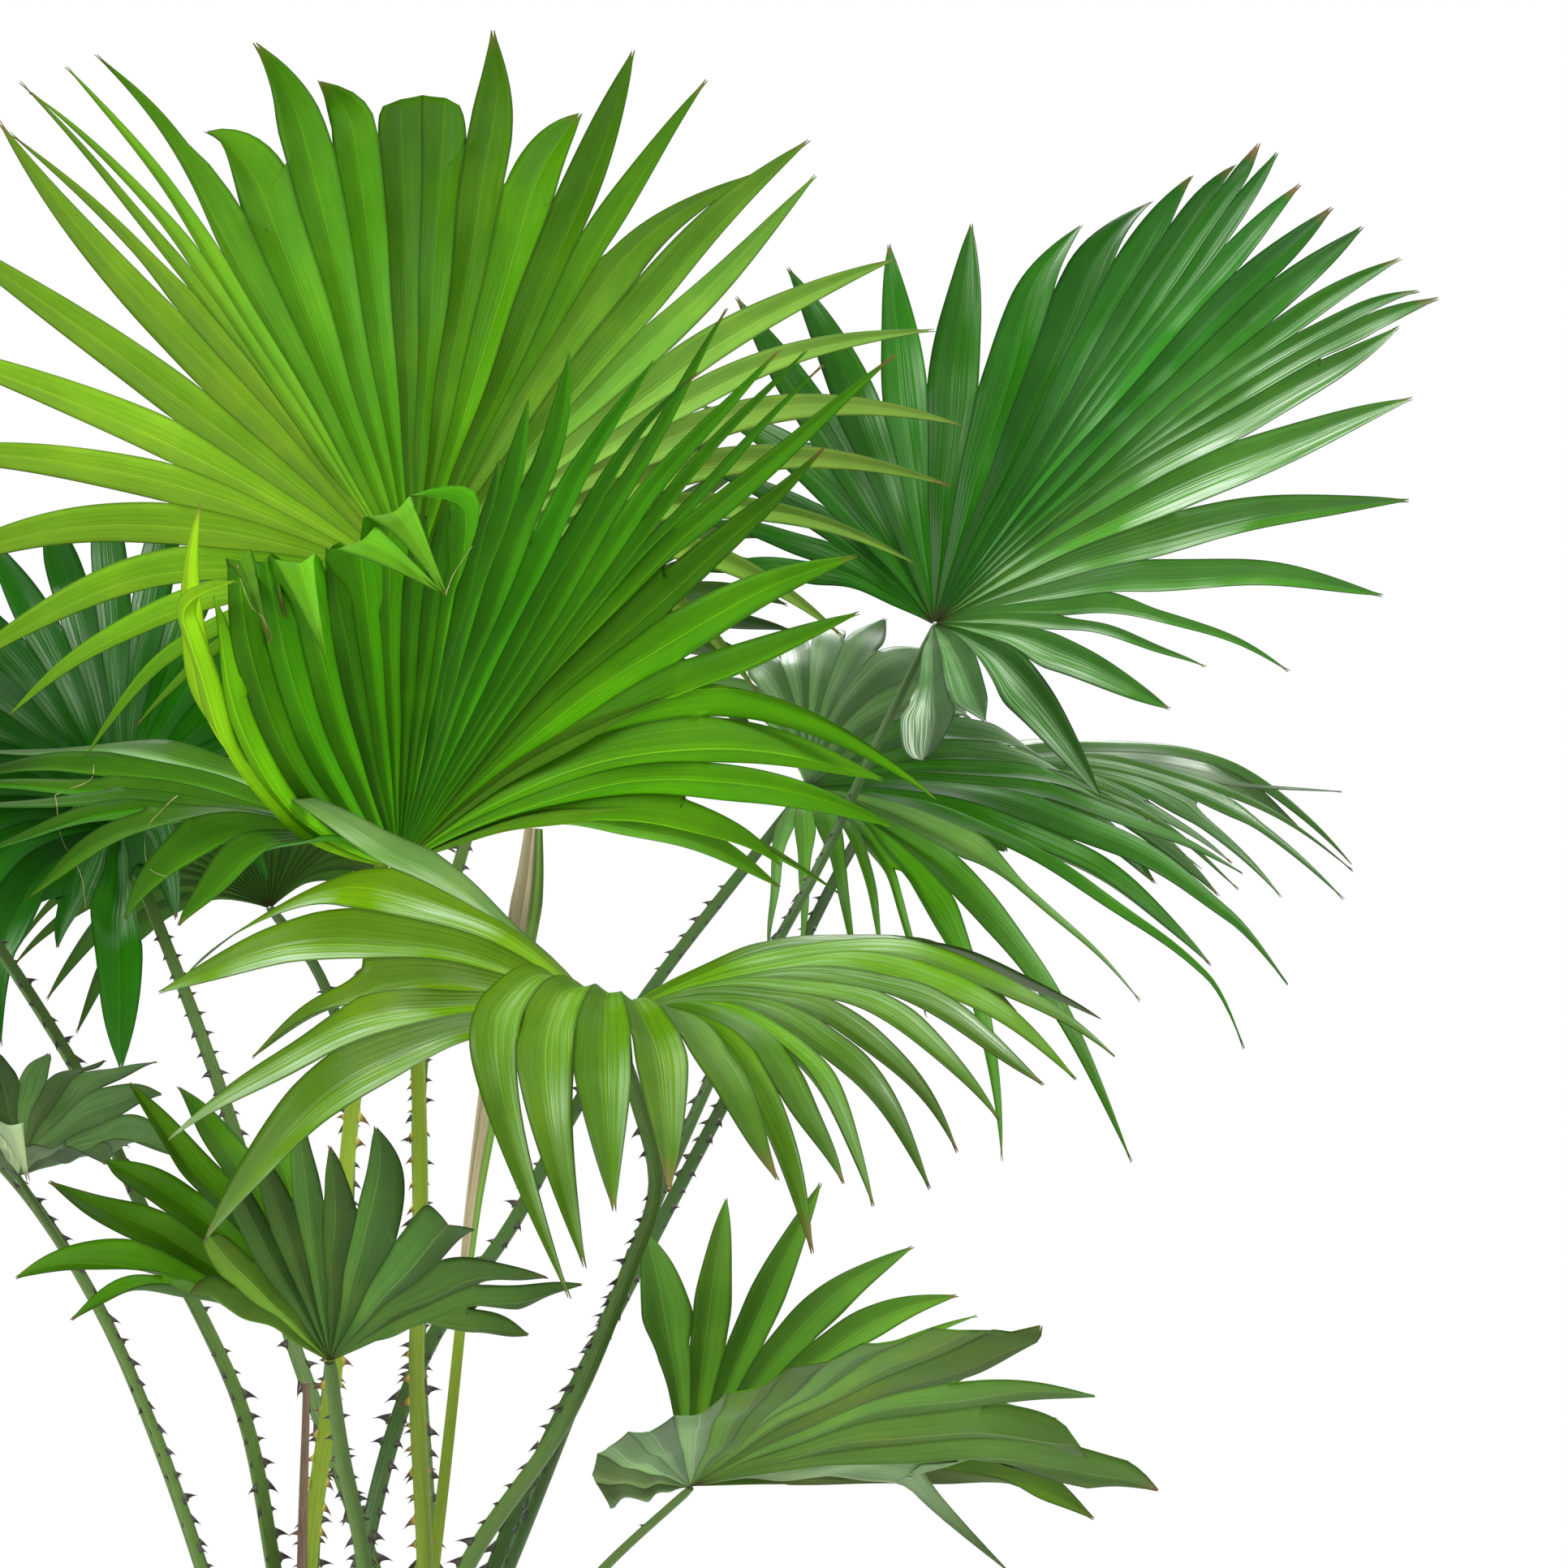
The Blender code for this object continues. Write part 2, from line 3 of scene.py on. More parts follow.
import bmesh
import bpy
import numpy as np
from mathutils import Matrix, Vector


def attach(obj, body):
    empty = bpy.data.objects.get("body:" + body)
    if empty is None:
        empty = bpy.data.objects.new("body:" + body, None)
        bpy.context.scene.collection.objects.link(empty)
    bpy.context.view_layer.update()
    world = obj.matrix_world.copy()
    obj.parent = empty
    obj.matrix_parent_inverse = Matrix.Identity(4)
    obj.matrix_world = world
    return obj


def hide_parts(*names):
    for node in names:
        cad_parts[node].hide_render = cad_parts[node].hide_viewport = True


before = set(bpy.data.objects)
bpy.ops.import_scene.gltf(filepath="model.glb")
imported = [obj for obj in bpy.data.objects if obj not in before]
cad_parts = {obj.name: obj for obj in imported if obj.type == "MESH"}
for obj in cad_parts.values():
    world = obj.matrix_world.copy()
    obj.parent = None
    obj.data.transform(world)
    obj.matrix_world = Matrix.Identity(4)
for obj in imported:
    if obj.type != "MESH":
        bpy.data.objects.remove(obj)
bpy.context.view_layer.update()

# The camera: level, at crown height, 4.2 m in front of the stem. Its long lens takes in the crown
# and cuts the left fronds and everything under the lowest ones off.
CAMERA_PLACE = (0.368, -4.2, 1.329)
CAMERA_LENS = 111.8
CAMERA_SENSOR = 36.0
camera_data = bpy.data.cameras.new("camera")
camera_data.lens = CAMERA_LENS
camera_data.sensor_width = CAMERA_SENSOR
camera = bpy.data.objects.new("camera", camera_data)
camera.location = CAMERA_PLACE
camera.rotation_euler = (math.radians(90), 0, 0)
bpy.context.scene.collection.objects.link(camera)
bpy.context.scene.camera = camera

# The studio: a white wall of light behind the plant, dimmer in front of it, a pale round floor, and
# soft lamps. One is high on the right for the sheen on the glossy fans, one makes the big fan glow.
FLOOR_RADIUS = 3.2
FLOOR_COLOUR = (0.86, 0.86, 0.86)
FLOOR_CLOUD = (0.8, 0.8, 0.8)
FRONT_LIGHT, BACK_LIGHT = 0.42, 1.0
LIGHT_STARTS, LIGHT_FULL = -0.1, 0.7
LAMPS = {
    # name: place, point that it faces, side of its square, watts
    "lamp_right": ((2.2, -2.2, 4.2), (0.4, 0.0, 1.2), 1.3, 190.0),
    "lamp_left": ((-2.6, -2.4, 3.2), (0.2, 0.0, 1.2), 1.6, 160.0),
    "lamp_back": ((0.2, 3.2, 3.6), (0.1, 0.1, 1.5), 2.0, 110.0)}
bpy.context.scene.view_settings.view_transform = "Standard"
world = bpy.data.worlds.new("surround")
world.use_nodes = True
bpy.context.scene.world = world
for lamp_name, (lamp_place, lamp_aim, lamp_side, lamp_watts) in LAMPS.items():
    lamp_data = bpy.data.lights.new(lamp_name, "AREA")
    lamp_data.size = lamp_side
    lamp_data.energy = lamp_watts
    lamp = bpy.data.objects.new(lamp_name, lamp_data)
    lamp.location = lamp_place
    lamp.rotation_euler = (Vector(lamp_aim) - Vector(lamp_place)).to_track_quat("-Z", "Y").to_euler()
    bpy.context.scene.collection.objects.link(lamp)


class Value:
    """One output of a node. Arithmetic on it adds Math nodes to its tree."""

    def __init__(self, tree, node, output=0):
        self.tree, self.node, self.socket = tree, node, node.outputs[output]

    def out(self, name):
        return Value(self.tree, self.node, name)

    def math(self, operation, *terms):
        return self.tree.node("ShaderNodeMath", {"operation": operation}, dict(enumerate(terms)))

    def __add__(self, other):
        return self.math("ADD", self, other)

    def __sub__(self, other):
        return self.math("SUBTRACT", self, other)

    def __rsub__(self, other):
        return self.math("SUBTRACT", other, self)

    def __mul__(self, other):
        return self.math("MULTIPLY", self, other)

    def __abs__(self):
        return self.math("ABSOLUTE", self)

    __radd__ = __add__
    __rmul__ = __mul__

    def between(self, low, high):
        """0 up to low, 1 from high on, and even between them. low may be the larger."""
        return self.tree.node("ShaderNodeMapRange", {"clamp": True},
                              {"Value": self, "From Min": low, "From Max": high})

    def wave(self):
        """A sine of the value, from 0 to 1."""
        return self.math("SINE", self) * 0.5 + 0.5


class Tree:
    """A node tree under construction."""

    def __init__(self, nodes_of):
        self.tree = nodes_of
        self.tree.nodes.clear()

    def node(self, kind, settings=None, sockets=None):
        """A node with its settings, then its sockets' values or links. Returns its first output."""
        made = self.tree.nodes.new(kind)
        for name, setting in (settings or {}).items():
            setattr(made, name, setting)
        for name, value in (sockets or {}).items():
            if isinstance(value, Value):
                self.tree.links.new(value.socket, made.inputs[name])
            else:
                made.inputs[name].default_value = value
        return Value(self, made) if made.outputs else made

    def mix(self, factor, first, second, blend="MIX"):
        """Two colours mixed by a factor."""
        first, second = [(*c, 1.0) if isinstance(c, tuple) and len(c) == 3 else c
                         for c in (first, second)]
        return self.node("ShaderNodeMix", {"data_type": "RGBA", "blend_type": blend},
                         {0: factor, 6: first, 7: second}).out(2)

    def tinted(self, colour, factor):
        """A colour times another colour or a value."""
        return self.mix(1.0, colour, factor, "MULTIPLY")

    def noise(self, where, scale, detail=2.0, roughness=0.5):
        """Soft noise from 0 to 1 over a piece."""
        return self.node("ShaderNodeTexNoise", {}, {"Vector": where, "Scale": scale, "Detail": detail,
                                                    "Roughness": roughness})

    def joined(self, x, y):
        """A vector of two values."""
        return self.node("ShaderNodeCombineXYZ", {}, {"X": x, "Y": y})

    def marked(self, name, socket="Fac"):
        """What the mesh itself says in one of its attributes."""
        return self.node("ShaderNodeAttribute", {"attribute_name": name}).out(socket)

    def chart(self, name):
        """Both values of one of the mesh's charts."""
        parts = self.node("ShaderNodeSeparateXYZ", {}, {0: self.node("ShaderNodeUVMap", {"uv_map": name})})
        return parts.out("X"), parts.out("Y")

    def bump(self, strength, distance, height):
        """A relief for the Normal socket."""
        return self.node("ShaderNodeBump", {}, {"Strength": strength, "Distance": distance, "Height": height})


class Finish(Tree):
    """The material of a piece."""

    def __init__(self, name):
        self.material = bpy.data.materials.new(name)
        self.material.use_nodes = True
        super().__init__(self.material.node_tree)
        self.place = self.node("ShaderNodeTexCoord").out("Object")

    def close(self, surface):
        self.node("ShaderNodeOutputMaterial", {}, {"Surface": surface})
        return self.material


sky = Tree(world.node_tree)
sky_way = sky.node("ShaderNodeTexCoord").out("Generated")
sky_depth = sky.node("ShaderNodeSeparateXYZ", {}, {0: sky_way}).out("Y")
sky_brightness = FRONT_LIGHT + sky_depth.between(LIGHT_STARTS, LIGHT_FULL) * (BACK_LIGHT - FRONT_LIGHT)
sky_light = sky.node("ShaderNodeBackground", {}, {"Color": (1, 1, 1, 1), "Strength": sky_brightness})
sky.node("ShaderNodeOutputWorld", {}, {"Surface": sky_light})

floor_finish = Finish("studio_floor")
floor_cloud = floor_finish.noise(floor_finish.place, 0.8)
floor_material = floor_finish.close(floor_finish.node("ShaderNodeBsdfPrincipled", {}, {
    "Base Color": floor_finish.mix(floor_cloud * 0.06, FLOOR_COLOUR, FLOOR_CLOUD), "Roughness": 0.9}))
floor_mesh = bpy.data.meshes.new("floor")
floor_bm = bmesh.new()
bmesh.ops.create_circle(floor_bm, cap_ends=True, radius=FLOOR_RADIUS, segments=96)
floor_bm.to_mesh(floor_mesh)
floor_bm.free()
floor = bpy.data.objects.new("floor", floor_mesh)
floor_mesh.materials.append(floor_material)
bpy.context.scene.collection.objects.link(floor)

# Pot: a plain thin-walled plastic cup, moulded in one piece with a turned-out band at its rim.
# The walls taper to a flat foot, and every edge of the moulding is rounded.
POT_HEIGHT, POT_LIP_DROP = 0.300, 0.032
POT_RIM, POT_LIP, POT_FOOT = 0.172, 0.164, 0.128
POT_WALL, POT_FLOOR = 0.006, 0.008
POT_EDGE_RADIUS, POT_ARC_STEPS, POT_STEPS = 0.0022, 4, 128
POT_BAND_TAPER, POT_SCUFF_HEIGHT = 0.001, 0.06
POT_COLOUR, POT_DUST = (0.33, 0.33, 0.32), (0.44, 0.42, 0.39)


def put(name, mesh, finishes, replaced=()):
    """Put a finished mesh in the scene: its materials, its ride and what it stands for."""
    made = bpy.data.objects.new(name, mesh)
    bpy.context.scene.collection.objects.link(made)
    for finish in finishes:
        made.data.materials.append(finish)
    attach(made, "root")
    if replaced:
        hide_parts(*replaced)
    return made


def finished(bm, mesh):
    """The mesh that a bmesh holds, smooth."""
    bm.to_mesh(mesh)
    bm.free()
    mesh.shade_smooth()
    return mesh


def place_sum(part):
    """The places of a part's corners added up, so that the parts of a mesh can be put in order."""
    return tuple(sum((corner.co for corner in getattr(part, "verts", [part])), Vector()))


def turned(name, profile, steps):
    """A closed round mesh from the outline of one half."""
    mesh = bpy.data.meshes.new(name)
    bm = bmesh.new()
    corners = [bm.verts.new((r, 0.0, z)) for r, z in profile]
    edges = [bm.edges.new(pair) for pair in zip(corners, corners[1:])]
    bmesh.ops.spin(bm, geom=corners + edges, cent=(0, 0, 0), axis=(0, 0, 1), angle=math.tau,
                   steps=steps, use_duplicate=False)
    bmesh.ops.remove_doubles(bm, verts=bm.verts, dist=1e-5)
    bmesh.ops.dissolve_degenerate(bm, dist=1e-6, edges=bm.edges)
    bmesh.ops.recalc_face_normals(bm, faces=bm.faces)
    # The spin leaves corners, edges and faces in another order each run
    for parts in (bm.verts, bm.edges, bm.faces):
        for k, part in enumerate(sorted(parts, key=place_sum)):
            part.index = k
        parts.sort()
    return finished(bm, mesh)


def rounded(points, radius):
    """An outline with each inner corner turned into a short arc."""
    found = [points[0]]
    for before, corner, after in zip(points, points[1:], points[2:]):
        corner = np.array(corner)
        ways = [np.array(p) - corner for p in (before, after)]
        sizes = [np.linalg.norm(w) for w in ways]
        reach = min(radius, 0.45 * min(sizes))
        start, end = [corner + w / s * reach for w, s in zip(ways, sizes)]
        for k in range(POT_ARC_STEPS + 1):
            u = k / POT_ARC_STEPS
            found.append(tuple((1 - u) ** 2 * start + 2 * u * (1 - u) * corner + u * u * end))
    return found + [points[-1]]


pot_finish = Finish("pot_plastic")
pot_dust = pot_finish.noise(pot_finish.place, 9, 5, 0.6)
pot_grain = pot_finish.noise(pot_finish.place, 420, 3)
pot_height = pot_finish.node("ShaderNodeSeparateXYZ", {}, {0: pot_finish.place}).out("Z")
pot_scuff = pot_height.between(POT_SCUFF_HEIGHT, 0.0) * pot_dust
pot_material = pot_finish.close(pot_finish.node("ShaderNodeBsdfPrincipled", {}, {
    "Base Color": pot_finish.mix(pot_dust.between(0.45, 0.75) * 0.35 + pot_scuff, POT_COLOUR, POT_DUST),
    "Roughness": 0.55 + pot_dust * 0.3,
    "Normal": pot_finish.bump(0.25, 0.0004, pot_grain)}))
pot_outline = [(0.0, POT_FLOOR), (POT_FOOT - POT_WALL, POT_FLOOR), (POT_LIP - POT_WALL, POT_HEIGHT),
               (POT_RIM, POT_HEIGHT), (POT_RIM - POT_BAND_TAPER, POT_HEIGHT - POT_LIP_DROP),
               (POT_LIP, POT_HEIGHT - POT_LIP_DROP), (POT_FOOT, 0.0), (0.0, 0.0)]
pot_mesh = turned("pot_shell", rounded(pot_outline, POT_EDGE_RADIUS), POT_STEPS)
put("pot_shell", pot_mesh, [pot_material], ["pot"])

# Soil: dark potting mix, heaped a little towards the stem, with crumbs and bits of bark on top.
# The surface is pushed up and down by noise, and the crumbs are scattered over it.
SOIL_EDGE, SOIL_CROWN = 0.278, 0.290
SOIL_GAP, SOIL_FLOOR_GAP = 0.0006, 0.0003
SOIL_CLEAR, STEM_CLEAR, CRUMB_DROP = 0.006, 0.075, 0.004
SOIL_LUMP, SOIL_HEAP, SOIL_BRIM = 0.0016, 0.095, 0.02
SOIL_COLOUR, SOIL_DRY, BARK_COLOUR = (0.030, 0.018, 0.011), (0.085, 0.052, 0.030), (0.13, 0.065, 0.028)
SOIL_RINGS, SOIL_STEPS = 26, 96
CRUMBS, CRUMB_GROUND, CRUMB_SEED = 1500, 0.055, 5
CRUMB_SMALLEST, CRUMB_LARGEST, CRUMB_SHAPE = 0.0016, 0.0058, (1.6, 1.0, 0.6)
FULL_TURN = (6.28, 6.28, 6.28)
soil_rise = (SOIL_EDGE - POT_FLOOR) / (POT_HEIGHT - POT_FLOOR)
soil_reach = POT_FOOT - POT_WALL + (POT_LIP - POT_FOOT) * soil_rise - SOIL_GAP


def soil_height(x, y):
    """Height of the soil over a point, lumps included."""
    r = np.hypot(x, y)
    heaped = np.clip((soil_reach - r) / (soil_reach - SOIL_HEAP), 0, 1)
    lumps = np.sin(61 * x + 13 * y) * np.sin(47 * y - 21 * x) + 0.5 * np.sin(173 * x + 40) * np.sin(149 * y)
    return (SOIL_EDGE + (SOIL_CROWN - SOIL_EDGE) * heaped
            + SOIL_LUMP * lumps * np.clip((soil_reach - r) / SOIL_BRIM, 0, 1))


soil_mesh = bpy.data.meshes.new("soil_fill")
soil_bm = bmesh.new()
soil_rings = []
for k in range(1, SOIL_RINGS + 1):
    radius = soil_reach * k / SOIL_RINGS
    turns = [math.tau * j / SOIL_STEPS for j in range(SOIL_STEPS)]
    soil_rings.append([soil_bm.verts.new((radius * math.cos(a), radius * math.sin(a), float(
        soil_height(radius * math.cos(a), radius * math.sin(a))))) for a in turns])
soil_low, soil_floor = POT_FOOT - POT_WALL - SOIL_GAP, POT_FLOOR + SOIL_FLOOR_GAP
soil_rings.append([soil_bm.verts.new((soil_low * math.cos(a), soil_low * math.sin(a), soil_floor))
                   for a in turns])
soil_top = soil_bm.verts.new((0, 0, float(soil_height(0.0, 0.0))))
soil_base = soil_bm.verts.new((0, 0, soil_floor))
for j in range(SOIL_STEPS):
    n = (j + 1) % SOIL_STEPS
    soil_bm.faces.new((soil_top, soil_rings[0][j], soil_rings[0][n]))
    soil_bm.faces.new((soil_base, soil_rings[-1][n], soil_rings[-1][j]))
    for inner, outer in zip(soil_rings, soil_rings[1:]):
        soil_bm.faces.new((inner[j], outer[j], outer[n], inner[n]))
finished(soil_bm, soil_mesh)
soil_finish = Finish("potting_mix")
soil_speck = soil_finish.noise(soil_finish.place, 160, 4, 0.7)
soil_patch = soil_finish.noise(soil_finish.place, 22, 3)
soil_material = soil_finish.close(soil_finish.node("ShaderNodeBsdfPrincipled", {}, {
    "Base Color": soil_finish.mix(soil_speck.between(0.45, 0.8) * soil_patch * 1.5, SOIL_COLOUR, SOIL_DRY),
    "Roughness": 0.85 + soil_speck * 0.15,
    "Normal": soil_finish.bump(0.9, 0.003, soil_speck)}))
put("soil_fill", soil_mesh, [soil_material], ["soil"])

bark_finish = Finish("bark_bits")
bark_shade = bark_finish.noise(bark_finish.place, 60, 3, 0.6)
bark_material = bark_finish.close(bark_finish.node("ShaderNodeBsdfPrincipled", {}, {
    "Base Color": bark_finish.mix(bark_shade.between(0.35, 0.7), SOIL_COLOUR, BARK_COLOUR),
    "Roughness": 0.9, "Normal": bark_finish.bump(0.6, 0.001, bark_finish.noise(bark_finish.place, 400))}))


def scatter_tree():
    """Geometry nodes: crumbs dealt over the faces of a surface, in random sizes and turns."""
    group = bpy.data.node_groups.new("crumbs", "GeometryNodeTree")
    sockets = [("Surface", "INPUT", "NodeSocketGeometry"), ("Density", "INPUT", "NodeSocketFloat"),
               ("Smallest", "INPUT", "NodeSocketFloat"), ("Largest", "INPUT", "NodeSocketFloat"),
               ("Seed", "INPUT", "NodeSocketInt"), ("Finish", "INPUT", "NodeSocketMaterial"),
               ("Crumbs", "OUTPUT", "NodeSocketGeometry")]
    for name, way, kind in sockets:
        group.interface.new_socket(name, in_out=way, socket_type=kind)
    tree = Tree(group)
    given = tree.node("NodeGroupInput")
    dots = tree.node("GeometryNodeDistributePointsOnFaces", {}, {
        "Mesh": given.out("Surface"), "Density": given.out("Density"), "Seed": given.out("Seed")})
    size = tree.node("FunctionNodeRandomValue", {"data_type": "FLOAT"}, {
        2: given.out("Smallest"), 3: given.out("Largest"), "Seed": given.out("Seed")}).out(1)
    turn = tree.node("FunctionNodeRandomValue", {"data_type": "FLOAT_VECTOR"}, {
        0: (0, 0, 0), 1: FULL_TURN, "Seed": given.out("Seed")})
    shape = tree.node("GeometryNodeMeshIcoSphere", {}, {"Radius": 0.5, "Subdivisions": 1})
    long = tree.node("GeometryNodeTransform", {}, {"Geometry": shape, "Scale": CRUMB_SHAPE})
    dealt = tree.node("GeometryNodeInstanceOnPoints", {}, {
        "Points": dots, "Instance": long, "Rotation": turn, "Scale": size})
    real = tree.node("GeometryNodeRealizeInstances", {}, {"Geometry": dealt})
    painted = tree.node("GeometryNodeSetMaterial", {}, {"Geometry": real, "Material": given.out("Finish")})
    tree.node("NodeGroupOutput", {}, {"Crumbs": painted})
    return group


def grown(name, mesh, group, inputs):
    """The plain mesh that a geometry node tree makes of a mesh, with its named inputs set."""
    guide = bpy.data.objects.new(name, mesh)
    bpy.context.scene.collection.objects.link(guide)
    made = guide.modifiers.new(name, "NODES")
    made.node_group = group
    for item in group.interface.items_tree:
        if item.in_out == "INPUT" and item.name in inputs:
            made[item.identifier] = inputs[item.name]
    bpy.context.view_layer.update()
    graph = bpy.context.evaluated_depsgraph_get()
    result = bpy.data.meshes.new_from_object(guide.evaluated_get(graph), preserve_all_data_layers=True,
                                             depsgraph=graph)
    result.name = name
    guide.modifiers.remove(made)
    bpy.data.objects.remove(guide, do_unlink=True)
    return result


crumb_ground = bpy.data.meshes.new("crumb_ground")
ground_bm = bmesh.new()
ground_bm.from_mesh(soil_mesh)
covered = []
for soil_face in ground_bm.faces:
    face_middle = soil_face.calc_center_median()
    face_reach = face_middle.xy.length
    if face_middle.z < SOIL_EDGE - CRUMB_DROP or not STEM_CLEAR <= face_reach <= soil_reach - SOIL_CLEAR:
        covered.append(soil_face)
bmesh.ops.delete(ground_bm, geom=covered, context="FACES")
ground_bm.to_mesh(crumb_ground)
ground_bm.free()
crumb_mesh = grown("soil_crumbs", crumb_ground, scatter_tree(), {
    "Density": CRUMBS / CRUMB_GROUND, "Smallest": CRUMB_SMALLEST, "Largest": CRUMB_LARGEST,
    "Seed": CRUMB_SEED, "Finish": bark_material})
put("soil_crumbs", crumb_mesh, [])

# Stem: short and thick, wrapped in the split bases of old stalks and their brown fibre.
# A ribbed core carries rings of pointed scales, each a curved plate that leans on the one behind.
STEM_FOOT_HEIGHT, STEM_HEIGHT = 0.2903, 0.055
STEM_TOP = STEM_FOOT_HEIGHT + STEM_HEIGHT
STEM_DARK, STEM_LIGHT = (0.070, 0.036, 0.018), (0.23, 0.14, 0.070)
STEM_STEPS, STEM_GRAIN = 72, (90, 90, 12)
SCALE_RINGS = [  # radius, lower edge, height, how many
    (0.081, 0.291, 0.030, 17), (0.077, 0.302, 0.030, 16), (0.073, 0.313, 0.029, 15)]
SCALE_ROWS, SCALE_STEPS, SCALE_INNER = 6, 7, 0.965
SCALE_OVERLAP, SCALE_POINT, SCALE_POINT_CURVE, SCALE_EDGE_DROP = 0.62, 0.92, 2.2, 0.04
SCALE_BELLY, SCALE_LIFT, SCALE_LEAN, SCALE_CURL = 0.0035, 0.0012, 0.010, 0.004
stem_core = [(0.0, STEM_TOP), (0.060, STEM_TOP), (0.068, STEM_TOP - 0.008), (0.072, STEM_TOP - 0.030),
             (0.079, STEM_FOOT_HEIGHT), (0.0, STEM_FOOT_HEIGHT)]
stem_mesh = turned("stem_core", stem_core, STEM_STEPS)
stem_bm = bmesh.new()
stem_bm.from_mesh(stem_mesh)
for ring, (ring_radius, ring_low, scale_rise, scale_count) in enumerate(SCALE_RINGS):
    for k in range(scale_count):
        middle = math.tau * (k + 0.5 * (ring % 2)) / scale_count
        half = SCALE_OVERLAP * math.tau / scale_count
        rows = []
        for v in range(SCALE_ROWS):
            up = v / (SCALE_ROWS - 1)
            narrow = 1 - up ** SCALE_POINT_CURVE * SCALE_POINT
            row = []
            for u in range(SCALE_STEPS):
                across = -1 + 2 * u / (SCALE_STEPS - 1)
                angle = middle + across * half * narrow
                belly = SCALE_BELLY * (1 - across * across) * (1 - 0.5 * up)
                radius = ring_radius + belly + SCALE_LIFT - SCALE_LEAN * up + SCALE_CURL * up * up
                height = ring_low + scale_rise * up * (1 - SCALE_EDGE_DROP * abs(across))
                row.append(stem_bm.verts.new((radius * math.cos(angle), radius * math.sin(angle), height)))
            rows.append(row)
        inner = [[stem_bm.verts.new((v.co.x * SCALE_INNER, v.co.y * SCALE_INNER, v.co.z)) for v in row]
                 for row in rows]
        for front, back in ((rows, False), (inner, True)):
            for low, high in zip(front, front[1:]):
                for u in range(SCALE_STEPS - 1):
                    quad = (low[u], low[u + 1], high[u + 1], high[u])
                    stem_bm.faces.new(quad[::-1] if back else quad)
        steps, climbs = range(SCALE_STEPS - 1), range(SCALE_ROWS - 1)
        rim = ([(rows[0][u], rows[0][u + 1], inner[0][u], inner[0][u + 1]) for u in steps]
               + [(rows[-1][u + 1], rows[-1][u], inner[-1][u + 1], inner[-1][u]) for u in steps]
               + [(rows[v + 1][0], rows[v][0], inner[v + 1][0], inner[v][0]) for v in climbs]
               + [(rows[v][-1], rows[v + 1][-1], inner[v][-1], inner[v + 1][-1]) for v in climbs])
        for a, b, c, d in rim:
            stem_bm.faces.new((b, a, c, d))
finished(stem_bm, stem_mesh)
stem_finish = Finish("stem_fibre")
stem_place = stem_finish.node("ShaderNodeMapping", {}, {"Vector": stem_finish.place, "Scale": STEM_GRAIN})
stem_streak = stem_finish.noise(stem_place, 2.2, 5, 0.65)
stem_patch = stem_finish.noise(stem_finish.place, 30, 3)
stem_material = stem_finish.close(stem_finish.node("ShaderNodeBsdfPrincipled", {}, {
    "Base Color": stem_finish.mix(stem_streak.between(0.35, 0.7) * (0.4 + stem_patch), STEM_DARK, STEM_LIGHT),
    "Roughness": 0.8 + stem_streak * 0.2,
    "Normal": stem_finish.bump(0.8, 0.002, stem_streak)}))
put("stem_core", stem_mesh, [stem_material], ["stem"])

# Open fronds: fan-shaped leaves of green tissue under a millimetre thick, pleated, whole near the hub
# and cut into leaflets beyond. As in the solids, a rib runs from the hub to each leaflet's tip along
# a bowed line. Where the photograph shows a tip, its place there says where the leaflet ends.
LEAF_THICKNESS = 0.0007
PHOTO_MIDDLE, PHOTO_FOCUS = 966.0, 6000.0
UP = np.array((0.0, 0.0, 1.0))
ROWS = np.concatenate([[0.006, 0.02, 0.045, 0.08, 0.12, 0.17], np.linspace(0.22, 1.0, 40)])
ACROSS = np.array([-1.0, -0.66, -0.33, 0.0, 0.33, 0.66, 1.0])
NEAR_SHARES = np.array([0.05, 0.2, 0.5, 0.2, 0.05])
RIPPLE, RIPPLE_COUNTS, RIPPLE_DRIFT = 0.0018, (9, 17), (0.9, -1.7)
HUB_PLEAT, HUB_PLEAT_REACH = 0.9, 0.12
SPLIT_STRAY, SPLIT_LIMITS = 0.015, (0.25, 0.97)
SIDE_STRAY, DROP_STRAY, OUT_STRAY, TWIST_STRAY = 0.035, 0.05, 0.03, 0.14
BEND_PLACE, KNEE_REACH = 0.45, 0.3
LEAFLET_TAPER, END_SHARE, HOLLOW, TIP_HALF_WIDTH = 1.7, 0.85, 0.12, 0.0013
TONE_STRAY, WARM_STRAY, WARM_TINT, TIP_SHADE = 0.13, 0.25, np.array([0.6, 0.12, 0.1]), 0.22
BROWN_SHARE, BROWN_REACH, HUB_REACH, HUB_DARK = 0.5, 0.03, 0.055, 0.85
HUB_BROWN, TIP_BROWN = np.array((0.045, 0.03, 0.012)), np.array((0.20, 0.10, 0.04))
PALE_GREEN = np.array((0.22, 0.33, 0.19))
PLEAT_ANGLE = math.radians(24)


def unit(vector):
    """The vector or the rows of vectors at length one."""
    return vector / np.maximum(np.linalg.norm(vector, axis=-1, keepdims=True), 1e-12)


def through(rows, places, at):
    """Values at the places asked for, on a smooth curve through all the rows."""
    rows, places = np.array(rows, float), np.array(places, float)
    slope = np.gradient(rows, places, axis=0)
    found = []
    for value in at:
        i = int(np.clip(np.searchsorted(places, value) - 1, 0, len(places) - 2))
        step = places[i + 1] - places[i]
        u = (value - places[i]) / step
        found.append((2 * u**3 - 3 * u**2 + 1) * rows[i] + (u**3 - 2 * u**2 + u) * step * slope[i]
                     + (3 * u**2 - 2 * u**3) * rows[i + 1] + (u**3 - u**2) * step * slope[i + 1])
    return np.array(found)


def run_of(line):
    """How far along a line each of its points lies."""
    return np.concatenate([[0.0], np.cumsum(np.linalg.norm(np.diff(line, axis=0), axis=1))])


